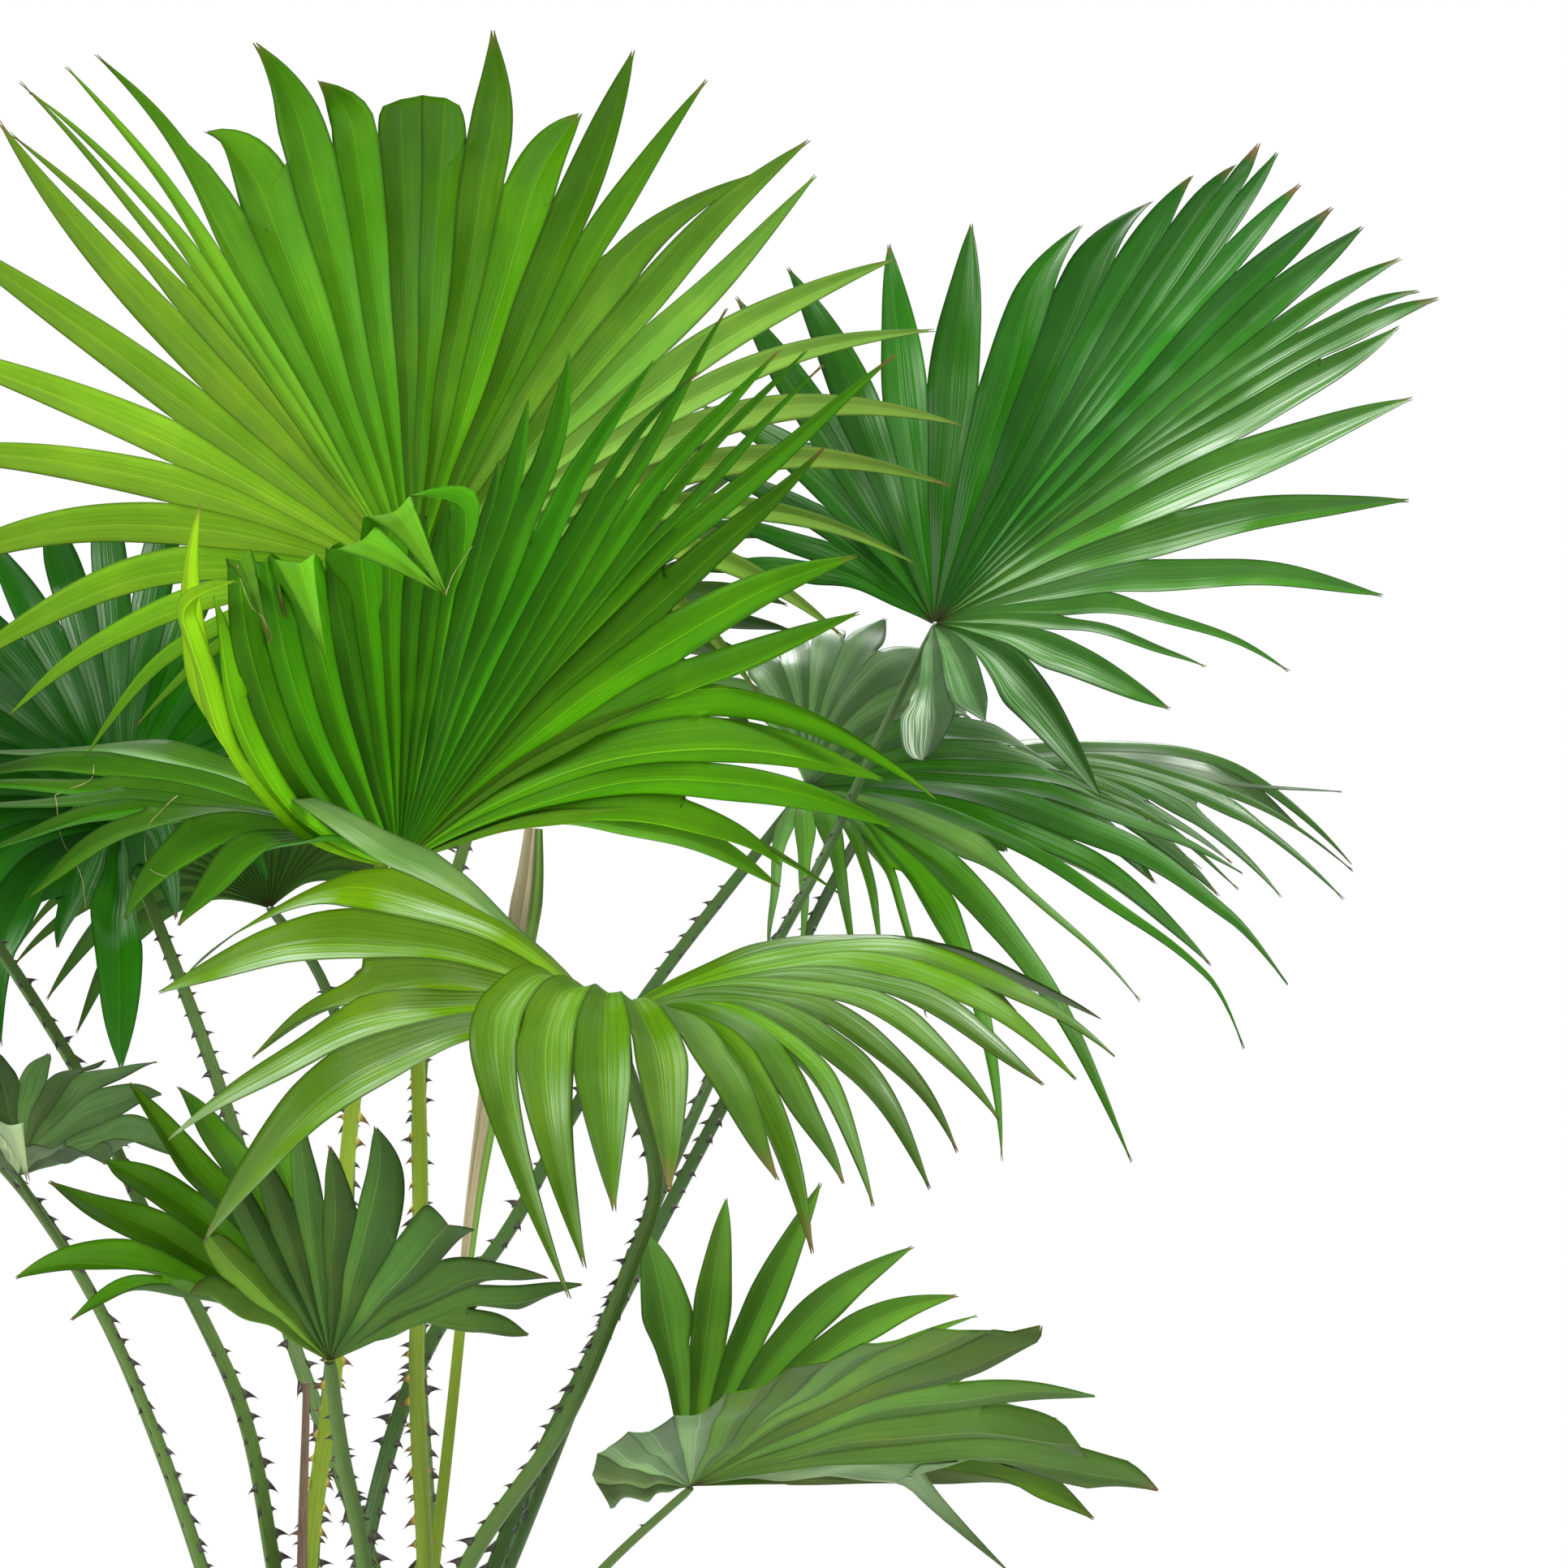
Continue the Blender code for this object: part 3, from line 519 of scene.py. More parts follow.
def along(points, samples):
    """Points spread evenly along a smooth curve, ends kept."""
    points = np.array(points, float)
    run = run_of(points)
    return through(points, run, np.linspace(0.0, run[-1], samples))


def smooth(x):
    """0 to 1 with soft ends."""
    x = np.clip(x, 0.0, 1.0)
    return x * x * (3 - 2 * x)


def beyond(row):
    """0 up to one row of a leaflet, and 1 at its tip."""
    return np.clip((ROWS - ROWS[row]) / max(1 - ROWS[row], 0.01), 0, 1)


def place_of(across, down, depth):
    """The place that the photograph shows at a pixel, at a depth behind the stem."""
    scale = (depth - CAMERA_PLACE[1]) / PHOTO_FOCUS
    return np.array((CAMERA_PLACE[0] + (across - PHOTO_MIDDLE) * scale, depth,
                     CAMERA_PLACE[2] - (down - PHOTO_MIDDLE) * scale))


def seen(hub, tips):
    """Leaflets that the photograph shows. A tip is its pixel across and down, its depth behind the
    stem, how high its rib bows, and rules that hold for this leaflet only:

    hang: the tip's real place, where the leaflet folds at the first one. bend: how far out it folds.
    aim: the place that its rib heads for. split: how far out it is joined to the next one.
    wide, taper, blunt: its breadth, how late it narrows, and an end that is cut off.
    tint, light, pale, shine, scorch: factors on its colour and on its upper side's, how much pale
    green is in it, its sheen, and how brown its tip is.
    """
    return [(*(place_of(*tip[:3]) - np.array(hub)), tip[3], tip[4] if len(tip) > 4 else {}) for tip in tips]


def spread(keys, counts):
    """Leaflets between the solids' key ribs, each key given as its step from the hub and its bow."""
    places = np.concatenate([[0], np.cumsum(counts)])
    return [(*row, {}) for row in through(keys, places, np.arange(places[-1] + 1))]


def evened(rows):
    """Each row mixed with the two before and after it. Ends are carried on in a straight line."""
    before = [2 * rows[0] - rows[k] for k in (2, 1)]
    after = [2 * rows[-1] - rows[-1 - k] for k in (1, 2)]
    padded = np.vstack([before, rows, after])
    return sum(share * padded[k:k + len(rows)] for k, share in enumerate(NEAR_SHARES))


def curved(values, count):
    """One value for each of so many leaflets, on a smooth curve through the ones given."""
    rows = np.array(values, float)[:, None]
    return through(rows, np.linspace(0, count - 1, len(values)), np.arange(count))[:, 0]


def graded(values, count):
    """One value for each of so many leaflets, in straight steps between the ones given."""
    return np.interp(np.arange(count), np.linspace(0, count - 1, len(values)), values)


LEAF_GLOW = (2.0, 1.7, 0.5)
# The pale green of a painted sheen on the glossy leaflets
PAINTED_SHEEN = (0.52, 0.66, 0.47)
RIB_TINT, CLOUD_TINT = (2.4, 1.8, 2.4), (1.55, 1.15, 0.8)
VEIN_COUNT = 31.0
CLOUD_SCALE, STREAK_SCALE, SHEEN_SCALE = 13, 2.0, 6.5


def leaf_finish(name, tint_name, roughness, specular, sheen, rib_light, see_through):
    """Leaf tissue: fine veins along each leaflet, a pale rib, soft clouds, painted shade in the folds, a
    painted sheen, and light coming through.
    """
    made = Finish(name)
    tint = made.marked(tint_name, "Color")
    across, out = made.chart("leaflet")
    ribs = abs(across).between(0.05, 0.015)
    # Each leaflet's edges, the valleys where neighbours meet, get a painted shade
    painted_valley_shade = abs(across).between(0.86, 1.0)
    keen, shine = made.marked("keen"), made.marked("shine")
    fine = (across * VEIN_COUNT).wave() * keen
    cloud = made.noise(made.place, CLOUD_SCALE, 3, 0.6)
    streak = made.noise(made.joined(across * 2.4, out * 9.0), STREAK_SCALE, 3, 0.6)
    veins = made.noise(made.joined(across * 8.0, out * 3.0), STREAK_SCALE, 2, 0.6)
    veined = (veins - 0.5) * keen
    # Random tone from clouds, streaks and veins, darkened along the leaflets' edges by a painted shade in the
    # valleys
    shade = (0.50 + cloud * 0.50 + streak * 0.42 + veined * 0.95) * (1.0 - painted_valley_shade * 0.5)
    colour = made.tinted(tint, shade)
    colour = made.mix(cloud.between(0.52, 0.7) * 0.35, colour, made.tinted(colour, CLOUD_TINT))
    colour = made.mix(ribs * rib_light, colour, made.tinted(tint, RIB_TINT))
    # Painted sheen: in patches and streaks the colour is mixed towards pale green. The same mask sets the
    # coat's real gloss.
    patch = made.noise(made.place, SHEEN_SCALE, 2, 0.5).between(0.44, 0.60)
    gloss_and_painted_sheen = patch * across.between(-0.3, 0.15) * (0.07 + veins.between(0.49, 0.57)) * shine
    colour = made.mix(gloss_and_painted_sheen * sheen * 0.85, colour, PAINTED_SHEEN)
    skin = made.node("ShaderNodeBsdfPrincipled", {}, {
        "Base Color": colour, "Roughness": roughness + cloud.between(0.3, 0.7) * 0.15,
        "Specular IOR Level": specular, "Coat Weight": gloss_and_painted_sheen * sheen, "Coat Roughness": 0.20,
        "Normal": made.bump(0.35, 0.0006, fine * 0.6 + (ribs + veins) * keen)})
    lit = made.node("ShaderNodeBsdfTranslucent", {}, {"Color": made.tinted(tint, LEAF_GLOW)})
    return made.close(made.node("ShaderNodeMixShader", {}, {0: see_through, 1: skin, 2: lit}))


plain_skins = [leaf_finish("leaf_upper", "upper", 0.48, 0.10, 0.03, 0.35, 0.35),
               leaf_finish("leaf_under", "under", 0.50, 0.12, 0.0, 0.6, 0.35)]
glossy_skins = [leaf_finish("leaf_upper_glossy", "upper", 0.36, 0.18, 1.0, 0.30, 0.25),
                leaf_finish("leaf_under_glossy", "under", 0.42, 0.18, 0.2, 0.5, 0.25)]


def frond(name, hub, runs, split, skins, upper, under, seed, stalk_end, loose=1.0, splits=None, web=None,
          tints=((1, 1, 1), (1, 1, 1)), pleat=0.34, broad=1.0, contrast=0.2, shines=(0.5, 0.5),
          pales=(0.0, 0.0)):
    """One open frond: its blade, in place. Returns the unit vector square to its hub, away from the
    stalk.

    runs holds the leaflets in order round the hub, folded between one run and the next. split is how
    far out they part, or splits for each pair of neighbours. web holds the angles at which the ribs
    leave the hub. loose is how far tips stray, and broad how wide the free ends are. tints, shines
    and pales are dealt out in steps over the leaflets. contrast is painted shade: one half
    of each leaflet is painted lighter and the other darker, as if lit from one side.
    """
    chance = np.random.default_rng(seed)
    hub = np.array(hub)
    rows = np.array([leaflet[:4] for run in runs for leaflet in run], float)
    rules = [leaflet[4] for run in runs for leaflet in run]
    chord, bow, n = rows[:, :3], rows[:, 3], len(rows)
    ends = np.cumsum([len(run) for run in runs])
    folds = set((ends[:-1] - 1).tolist())
    tip = hub + chord
    length = np.linalg.norm(chord, axis=1)
    aims = np.array([place_of(*rule["aim"]) - hub if "aim" in rule else way
                     for rule, way in zip(rules, chord)])
    heading = np.vstack([unit(evened(unit(aims[a:b]))) for a, b in zip([0, *ends[:-1]], ends)])
    if web is not None:
        turned_to = np.radians(curved(web, n))
        flat = np.hypot(heading[:, 0], heading[:, 2])
        heading[:, 0], heading[:, 2] = flat * np.sin(turned_to), flat * np.cos(turned_to)
    lift = unit(UP - (heading @ UP)[:, None] * heading)
    t = ROWS[None, :, None]
    rise = 4 * t * (1 - t) * (bow[:, None] * lift)[:, None]
    rib = hub + t * (heading * length[:, None])[:, None] + rise
    tangent = unit(np.gradient(rib, ROWS, axis=1))
    pair = 0.5 * (rib[1:] - rib[:-1])
    crossing = unit(unit(np.cross(pair[:, 0], tangent[:-1, 0])).sum(0))
    way = np.sign(crossing @ (hub - np.array(stalk_end)))

    def beside(i, step):
        """The pair that leaflet i makes with its neighbour, or None where the fan ends."""
        k = i if step > 0 else i - 1
        return k if 0 <= k < n - 1 and k not in folds else None

    # Soft ripples along the ribs, so that no two leaflets lie alike
    lateral = np.zeros_like(rib)
    for i in range(n):
        sides = [beside(i, -1), beside(i, 1)]
        lateral[i] = unit(sum(unit(pair[k]) for k in sides if k is not None))
    wave = chance.uniform(0, 6.28, 2)
    turn = np.arange(n)[:, None]
    swell = (np.sin(ROWS * RIPPLE_COUNTS[0] + wave[0] + turn * RIPPLE_DRIFT[0])
             + np.sin(ROWS * RIPPLE_COUNTS[1] + wave[1] + turn * RIPPLE_DRIFT[1]))
    normal = unit(np.cross(lateral, tangent)) * way
    rib = rib + normal * (RIPPLE * swell * smooth(ROWS * 2.5))[..., None]
    pair = 0.5 * (rib[1:] - rib[:-1])

    # Where each pair of neighbours parts
    part_at = np.full(n - 1, split) if splits is None else curved(splits, n - 1)
    part_at = np.clip(part_at + chance.normal(0, SPLIT_STRAY, n - 1), *SPLIT_LIMITS)
    for i, rule in enumerate(rules[:-1]):
        part_at[i] = rule.get("split", part_at[i])
    seam_row = np.searchsorted(ROWS, part_at)
    leave = np.zeros((n, 2), int)
    for i in range(n):
        found = [seam_row[k] if k is not None else None for k in (beside(i, -1), beside(i, 1))]
        leave[i] = [row if row is not None else next(q for q in found if q is not None) for row in found]

    # Beyond that each leaflet bends away to its own tip
    free = rib.copy()
    for i, rule in enumerate(rules):
        start = leave[i].max()
        x = beyond(start)[:, None]
        stray = loose * length[i] * (chance.normal(0, SIDE_STRAY) * lateral[i, start]
                                     - abs(chance.normal(0, DROP_STRAY)) * UP)
        stray = stray + length[i] * chance.normal(0, OUT_STRAY) * normal[i, start]
        free[i] = rib[i] + x**2 * (tip[i] - rib[i, -1] + stray)
        if "hang" in rule:
            bend = start + int(rule.get("bend", BEND_PLACE) * (len(ROWS) - start))
            reach = np.linspace(start, len(ROWS) - 1, bend - start + 1)
            low = np.minimum(reach.astype(int), len(ROWS) - 2)
            walk = free[i, low] + (free[i, low + 1] - free[i, low]) * (reach - low)[:, None]
            drop = place_of(*rule["hang"]) - walk[-1]
            u = np.linspace(0, 1, len(ROWS) - bend)[:, None]
            knee = walk[-1] + unit(walk[-1] - walk[-2]) * KNEE_REACH * np.linalg.norm(drop)
            free[i, start:bend + 1] = walk
            free[i, bend:] = (1 - u) ** 2 * walk[-1] + 2 * u * (1 - u) * knee + u**2 * (walk[-1] + drop)

    # Each half of a leaflet rises from its rib to the pleat's edge, joined or free
    tangent = unit(np.gradient(free, ROWS, axis=1))
    twist = chance.normal(0, TWIST_STRAY, n)
    steep = pleat + HUB_PLEAT * np.exp(-ROWS / HUB_PLEAT_REACH)
    tinted = np.array([graded(part, n) for part in zip(*tints)]).T
    shined, paled = graded(shines, n), graded(pales, n)
    points, faces, charts, tops, unders, keen, shine = [], [], [], [], [], [], []
    for i, rule in enumerate(rules):
        halves = []
        for side in (-1, 1):
            k = beside(i, side)
            other = beside(i, -side) if k is None else k
            row = leave[i][(side + 1) // 2]
            half = pair[other] * side * (1.0 if k is not None else END_SHARE)
            across = half - (half * tangent[i]).sum(1)[:, None] * tangent[i]
            mean = unit(tangent[other] + tangent[other + 1]) if k is not None else tangent[i]
            up = unit(np.cross(half * side, mean)) * way
            joined = half + up * (steep * np.linalg.norm(half, axis=1))[:, None]
            x = beyond(row)
            taper = rule.get("taper", LEAFLET_TAPER)
            narrow = (1 - x ** 4) ** 0.5 if "blunt" in rule else (1 - x ** taper) ** 0.9
            broadened = 1 + (rule.get("wide", broad) - 1) * smooth(x * 3)
            width = np.linalg.norm(across[row]) * narrow * broadened
            flat = unit(half[row] - (tangent[i] @ half[row])[:, None] * tangent[i])
            own_up = unit(np.cross(flat * side, tangent[i])) * way
            roll = twist[i] * x * side
            lean = flat * np.cos(roll)[:, None] + own_up * np.sin(roll)[:, None]
            lean_up = own_up * np.cos(roll)[:, None] - flat * np.sin(roll)[:, None]
            loosened = lean * width[:, None] + lean_up * ((pleat * (1 - 0.3 * x)) * width)[:, None]
            kept = joined[row] * (narrow * broadened)[:, None]
            blend = smooth(x * 6)[:, None]
            loosened = loosened * blend + kept * (1 - blend)
            halves.append((np.where((np.arange(len(ROWS)) <= row)[:, None], joined, loosened), up))
        grid = np.zeros((len(ROWS), len(ACROSS), 3))
        for c, u in enumerate(ACROSS):
            half_line, up = halves[0] if u < 0 else halves[1]
            a = abs(u)
            hollow = HOLLOW * a * (1 - a) * np.linalg.norm(half_line, axis=1)[:, None] * up
            grid[:, c] = free[i] + a * half_line - hollow
        if "blunt" not in rule:
            grid[-1, 3] = free[i, -2] + 0.3 * (free[i, -1] - free[i, -2])
            for c, u in enumerate(ACROSS):
                if u:
                    aside = TIP_HALF_WIDTH * np.sign(u) * (0.6 + 0.4 * abs(u))
                    grid[-1, c] = free[i, -1] + lateral[i, -1] * aside
        points.append(grid.reshape(-1, 3))

        # Colours: its own tone, one half painted lighter and the other darker as if lit from one side, a
        # brown tip and the dark of the hub
        run = run_of(free[i])
        v = np.repeat((run / run[-1])[:, None], len(ACROSS), axis=1)
        u = np.repeat(ACROSS[None], len(ROWS), axis=0)
        keen.append(smooth((0.92 - v) / 0.5).ravel())
        shine.append(np.full(v.size, rule.get("shine", shined[i])))
        tone = 1 + chance.normal(0, TONE_STRAY) + chance.uniform(0, WARM_STRAY) * WARM_TINT
        tone = tone * np.array(rule.get("tint", (1, 1, 1))) * tinted[i]
        towards_tip = 1 - TIP_SHADE * smooth((v - 0.6) / 0.4)
        # Painted shade: one half of the leaflet lighter and the other darker, as if lit from one side
        tone = tone * ((1 + contrast * np.sign(u) * (1 - 0.5 * v)) * towards_tip)[..., None]
        burnt = 0.0 if "blunt" in rule else chance.uniform(0.3, 1) if chance.uniform() < BROWN_SHARE else 0.1
        scorch = (smooth((v - 0.962) / BROWN_REACH) * burnt)[..., None]
        scorch = np.maximum(scorch, (smooth((v - 0.9) / 0.1) * rule.get("scorch", 0.0))[..., None])
        dark = (smooth((HUB_REACH - v) / 0.05) * HUB_DARK)[..., None]
        pale = rule.get("pale", paled[i])
        sides = []
        for base, lighter in ((upper, rule.get("light", 1.0)), (under, 1.0)):
            colour = (np.array(base) * (1 - pale) + PALE_GREEN * pale) * tone * lighter
            colour = colour * (1 - scorch) + TIP_BROWN * scorch
            sides.append(colour * (1 - dark) + HUB_BROWN * dark)
        first = i * len(ROWS) * len(ACROSS)
        for r in range(len(ROWS) - 1):
            for c in range(len(ACROSS) - 1):
                corners = ((r, c), (r, c + 1), (r + 1, c + 1), (r + 1, c))[::int(way)]
                faces.append([first + q[0] * len(ACROSS) + q[1] for q in corners])
                charts.append([(u[q], v[q] * length[i]) for q in corners])
                tops.append([(*sides[0][q], 1.0) for q in corners])
                unders.append([(*sides[1][q], 1.0) for q in corners])

    mesh = bpy.data.meshes.new("leaf_" + name)
    mesh.from_pydata(np.concatenate(points).tolist(), [], faces)
    chart = mesh.uv_layers.new(name="leaflet")
    chart.data.foreach_set("uv", np.array(charts, np.float32).ravel())
    for label, colours in (("upper", tops), ("under", unders)):
        layer = mesh.color_attributes.new(label, "FLOAT_COLOR", "CORNER")
        layer.data.foreach_set("color", np.array(colours, np.float32).ravel())
    for label, values in (("keen", keen), ("shine", shine)):
        mark = mesh.attributes.new(label, "FLOAT", "POINT")
        mark.data.foreach_set("value", np.concatenate(values).astype(np.float32))
    bm = bmesh.new()
    bm.from_mesh(mesh)
    bmesh.ops.remove_doubles(bm, verts=bm.verts, dist=1e-6)
    bmesh.ops.dissolve_degenerate(bm, dist=1e-6, edges=bm.edges)
    finished(bm, mesh)
    mesh.set_sharp_from_angle(angle=PLEAT_ANGLE)
    made = put("leaf_" + name, mesh, skins, ["frond_" + name])
    shell = made.modifiers.new("thickness", "SOLIDIFY")
    shell.thickness = LEAF_THICKNESS
    shell.offset = -1.0
    shell.material_offset = 1
    return way * crossing


# Thorns: hard hooked teeth in two rows along the stalk's edges, bigger near its foot.
# One small curved cone is dealt along each row and turned to stand out from it.
THORN_LENGTH, THORN_SPACING, THORN_END = 0.0125, 0.021, 0.9
THORN_RINGS, THORN_SIDES = 5, 6
THORN_BREADTH, THORN_WIDTH, THORN_HOOK, THORN_ROOT = 0.42, 0.16, 0.55, 0.12
THORN_TIP = (-0.62, 0.0, 0.92)
THORN_STRAY, THORN_SMALLEST, THORN_LARGEST, THORN_SHARE = 0.35, 0.45, 1.15, 0.86
THORN_FOOT_GROWTH, THORN_HUB_GROWTH = 1.25, 0.75


def thorn_shape():
    """A flattened cone with a hooked tip, one unit long, with its length marked from 0 to 1."""
    mesh = bpy.data.meshes.new("thorn")
    bm = bmesh.new()
    mark = bm.verts.layers.float.new("tooth")
    rings = []
    for k in range(THORN_RINGS):
        up = k / THORN_RINGS
        wide = (1 - up) ** 1.15
        hook = -THORN_HOOK * up**1.8
        ring = []
        for j in range(THORN_SIDES):
            a = math.tau * j / THORN_SIDES
            spot = bm.verts.new((hook + THORN_BREADTH * wide * math.cos(a) * (1.25 if up == 0 else 1),
                                 THORN_WIDTH * wide * math.sin(a), up - THORN_ROOT))
            spot[mark] = up
            ring.append(spot)
        rings.append(ring)
    tip = bm.verts.new(THORN_TIP)
    tip[mark] = 1.0
    for low, high in zip(rings, rings[1:]):
        for j in range(THORN_SIDES):
            n = (j + 1) % THORN_SIDES
            bm.faces.new((low[j], low[n], high[n], high[j]))
    for j in range(THORN_SIDES):
        bm.faces.new((rings[-1][j], rings[-1][(j + 1) % THORN_SIDES], tip))
    bm.faces.new(rings[0][::-1])
    bmesh.ops.recalc_face_normals(bm, faces=bm.faces)
    return finished(bm, mesh)


def thorn_tree():
    """Geometry nodes: thorns spread along lines, standing out the way that the line's marks say."""
    group = bpy.data.node_groups.new("thorn_rows", "GeometryNodeTree")
    for name, way, kind in [("Edges", "INPUT", "NodeSocketGeometry"), ("Thorn", "INPUT", "NodeSocketObject"),
                            ("Spacing", "INPUT", "NodeSocketFloat"), ("Length", "INPUT", "NodeSocketFloat"),
                            ("Seed", "INPUT", "NodeSocketInt"), ("Finish", "INPUT", "NodeSocketMaterial"),
                            ("Thorns", "OUTPUT", "NodeSocketGeometry")]:
        group.interface.new_socket(name, in_out=way, socket_type=kind)
    tree = Tree(group)
    given = tree.node("NodeGroupInput")
    line = tree.node("GeometryNodeMeshToCurve", {}, {"Mesh": given.out("Edges")})
    spots = tree.node("GeometryNodeResampleCurve", {"mode": "LENGTH"}, {
        "Curve": line, "Length": given.out("Spacing")})
    outward = tree.node("GeometryNodeInputNamedAttribute", {"data_type": "FLOAT_VECTOR"},
                        {"Name": "outward"})
    growth = tree.node("GeometryNodeInputNamedAttribute", {"data_type": "FLOAT"}, {"Name": "growth"})
    stray = tree.node("FunctionNodeRandomValue", {"data_type": "FLOAT_VECTOR"}, {
        0: (-THORN_STRAY,) * 3, 1: (THORN_STRAY,) * 3, "Seed": given.out("Seed")})
    lean = tree.node("ShaderNodeVectorMath", {"operation": "ADD"}, {0: outward, 1: stray})
    run = tree.node("GeometryNodeInputTangent")
    stand = tree.node("FunctionNodeAxesToRotation", {"primary_axis": "Z", "secondary_axis": "X"}, {
        "Primary Axis": lean, "Secondary Axis": run})
    size = tree.node("FunctionNodeRandomValue", {"data_type": "FLOAT"}, {
        2: THORN_SMALLEST, 3: THORN_LARGEST, "Seed": given.out("Seed")}).out(1)
    keep = tree.node("FunctionNodeRandomValue", {"data_type": "BOOLEAN"}, {
        "Probability": THORN_SHARE, "Seed": given.out("Seed")}).out(3)
    dealt = tree.node("GeometryNodeInstanceOnPoints", {}, {
        "Points": spots, "Selection": keep,
        "Instance": tree.node("GeometryNodeObjectInfo", {}, {"Object": given.out("Thorn")}).out("Geometry"),
        "Rotation": stand, "Scale": size * growth * given.out("Length")})
    real = tree.node("GeometryNodeRealizeInstances", {}, {"Geometry": dealt})
    painted = tree.node("GeometryNodeSetMaterial", {}, {"Geometry": real, "Material": given.out("Finish")})
    tree.node("NodeGroupOutput", {}, {"Thorns": painted})
    return group


def thorn_finish(name, root, tip):
    """Hard horn: the stalk's colour at the root, dark and a little shiny at the tip."""
    made = Finish(name)
    tooth = made.marked("tooth")
    fleck = made.noise(made.place, 300, 2)
    return made.close(made.node("ShaderNodeBsdfPrincipled", {}, {
        "Base Color": made.mix(tooth.between(0.05, 0.45) * (0.7 + fleck * 0.6), root, tip),
        "Roughness": 0.35 + fleck * 0.2}))


dark_thorn = thorn_finish("thorn_dark", (0.055, 0.05, 0.03), (0.012, 0.008, 0.008))
amber_thorn = thorn_finish("thorn_amber", (0.40, 0.36, 0.05), (0.10, 0.035, 0.015))
thorn_guide = bpy.data.objects.new("thorn", thorn_shape())
thorn_group = thorn_tree()

# Stalks: stiff and green, round below and channelled above, broad where they clasp the stem. Each is
# one section carried along a smooth line from the stem's top to a frond's hub.
STALK_SECTION = [(-1.0, 0.30), (-1.02, 0.05), (-0.92, -0.30), (-0.70, -0.62), (-0.36, -0.86), (0.0, -0.94),
                 (0.36, -0.86), (0.70, -0.62), (0.92, -0.30), (1.02, 0.05), (1.0, 0.30), (0.62, 0.26),
                 (0.0, 0.12), (-0.62, 0.26)]
STALK_DEPTH, STALK_RISE, STALK_HUB_GAP = 0.004, 0.020, 0.0008
STALK_SAMPLES, STALK_FLARE, STALK_FLARE_REACH = 54, 0.55, 0.035
STALK_NECK, STALK_TILT = 0.8, 0.15
EDGE_OUT, EDGE_UP, THORN_LIFT = 1.08, 0.30, 0.25
SECTION_ANGLE = math.radians(50)
GROOVE_COUNT = 95.0
STALK_TONES = {
    # name: its green, the green of its streaks, the brown at its foot, how far that brown spreads
    "stalk_green": ((0.085, 0.165, 0.022), (0.045, 0.105, 0.014), (0.10, 0.075, 0.03), 0.12),
    "stalk_dark": ((0.05, 0.115, 0.02), (0.025, 0.07, 0.012), (0.08, 0.06, 0.03), 0.2),
    "stalk_lime": ((0.21, 0.29, 0.02), (0.12, 0.22, 0.013), (0.26, 0.20, 0.03), 0.1)}


def stalk_finish(name, green, edge, base, blush):
    """Stalk skin: fine grooves along it, a darker edge, and dry brown at its foot."""
    made = Finish(name)
    round_it, out = made.chart("skin")
    groove = (round_it * GROOVE_COUNT).wave()
    streak = made.noise(made.joined(round_it * 6.0, out * 14.0), 3.0, 4, 0.65)
    cloud = made.noise(made.place, 18, 3)
    colour = made.mix(streak.between(0.3, 0.75) * 0.6 + groove * 0.12, green, edge)
    colour = made.mix(cloud.between(0.55, 0.75) * blush, colour, base)
    colour = made.mix(out.between(0.10, 0.0) * 0.9, colour, base)
    return made.close(made.node("ShaderNodeBsdfPrincipled", {}, {
        "Base Color": colour, "Roughness": 0.42 + streak * 0.16, "Specular IOR Level": 0.3,
        "Normal": made.bump(0.3, 0.0006, groove + streak)}))


green_stalk, dark_stalk, lime_stalk = [stalk_finish(name, *tones) for name, tones in STALK_TONES.items()]
# A stalk's skin, and the finish of its thorns
green_bark, dark_bark = (green_stalk, dark_thorn), (dark_stalk, dark_thorn)
lime_bark = (lime_stalk, amber_thorn)


def swept(name, line, radii, section, face, foot_flare=0.0):
    """A closed limb: a section carried along a line, its first axis square to the way it faces.

    Returns its mesh, and for each point of the line the way across, the way it faces and the run.
    """
    line = np.array(line)
    go = unit(np.gradient(line, axis=0))
    face = unit(np.array(face) - (go @ np.array(face))[:, None] * go)
    broad = np.cross(go, face)
    run = run_of(line)
    mesh = bpy.data.meshes.new(name)
    bm = bmesh.new()
    chart = bm.loops.layers.uv.new("skin")
    rings = []
    for k, (spot, radius) in enumerate(zip(line, radii)):
        wide = 1 + foot_flare * math.exp(-run[k] / STALK_FLARE_REACH)
        rings.append([bm.verts.new(tuple(spot + radius * (b * wide * broad[k] + a * face[k])))
                      for b, a in section])
    m = len(section)
    for k in range(len(rings) - 1):
        for j in range(m):
            corners = (rings[k][j], rings[k][(j + 1) % m], rings[k + 1][(j + 1) % m], rings[k + 1][j])
            made = bm.faces.new(corners)
            for loop, (q, row) in zip(made.loops, ((j, k), (j + 1, k), (j + 1, k + 1), (j, k + 1))):
                loop[chart].uv = (q / m, run[row])
    for ring, row in ((rings[0][::-1], 0), (rings[-1], len(rings) - 1)):
        made = bm.faces.new(ring)
        for loop in made.loops:
            loop[chart].uv = (0.5, run[row])
    bmesh.ops.recalc_face_normals(bm, faces=bm.faces)
    finished(bm, mesh)
    mesh.set_sharp_from_angle(angle=SECTION_ANGLE)
    return mesh, broad, face, run


def rooted(foot, points, samples):
    """A line that starts upright in the stem's top and passes the points, with a point for its foot."""
    foot = np.array((*foot, STEM_TOP - STALK_DEPTH))
    return np.vstack([foot, along([foot + UP * STALK_RISE, *points], samples)])


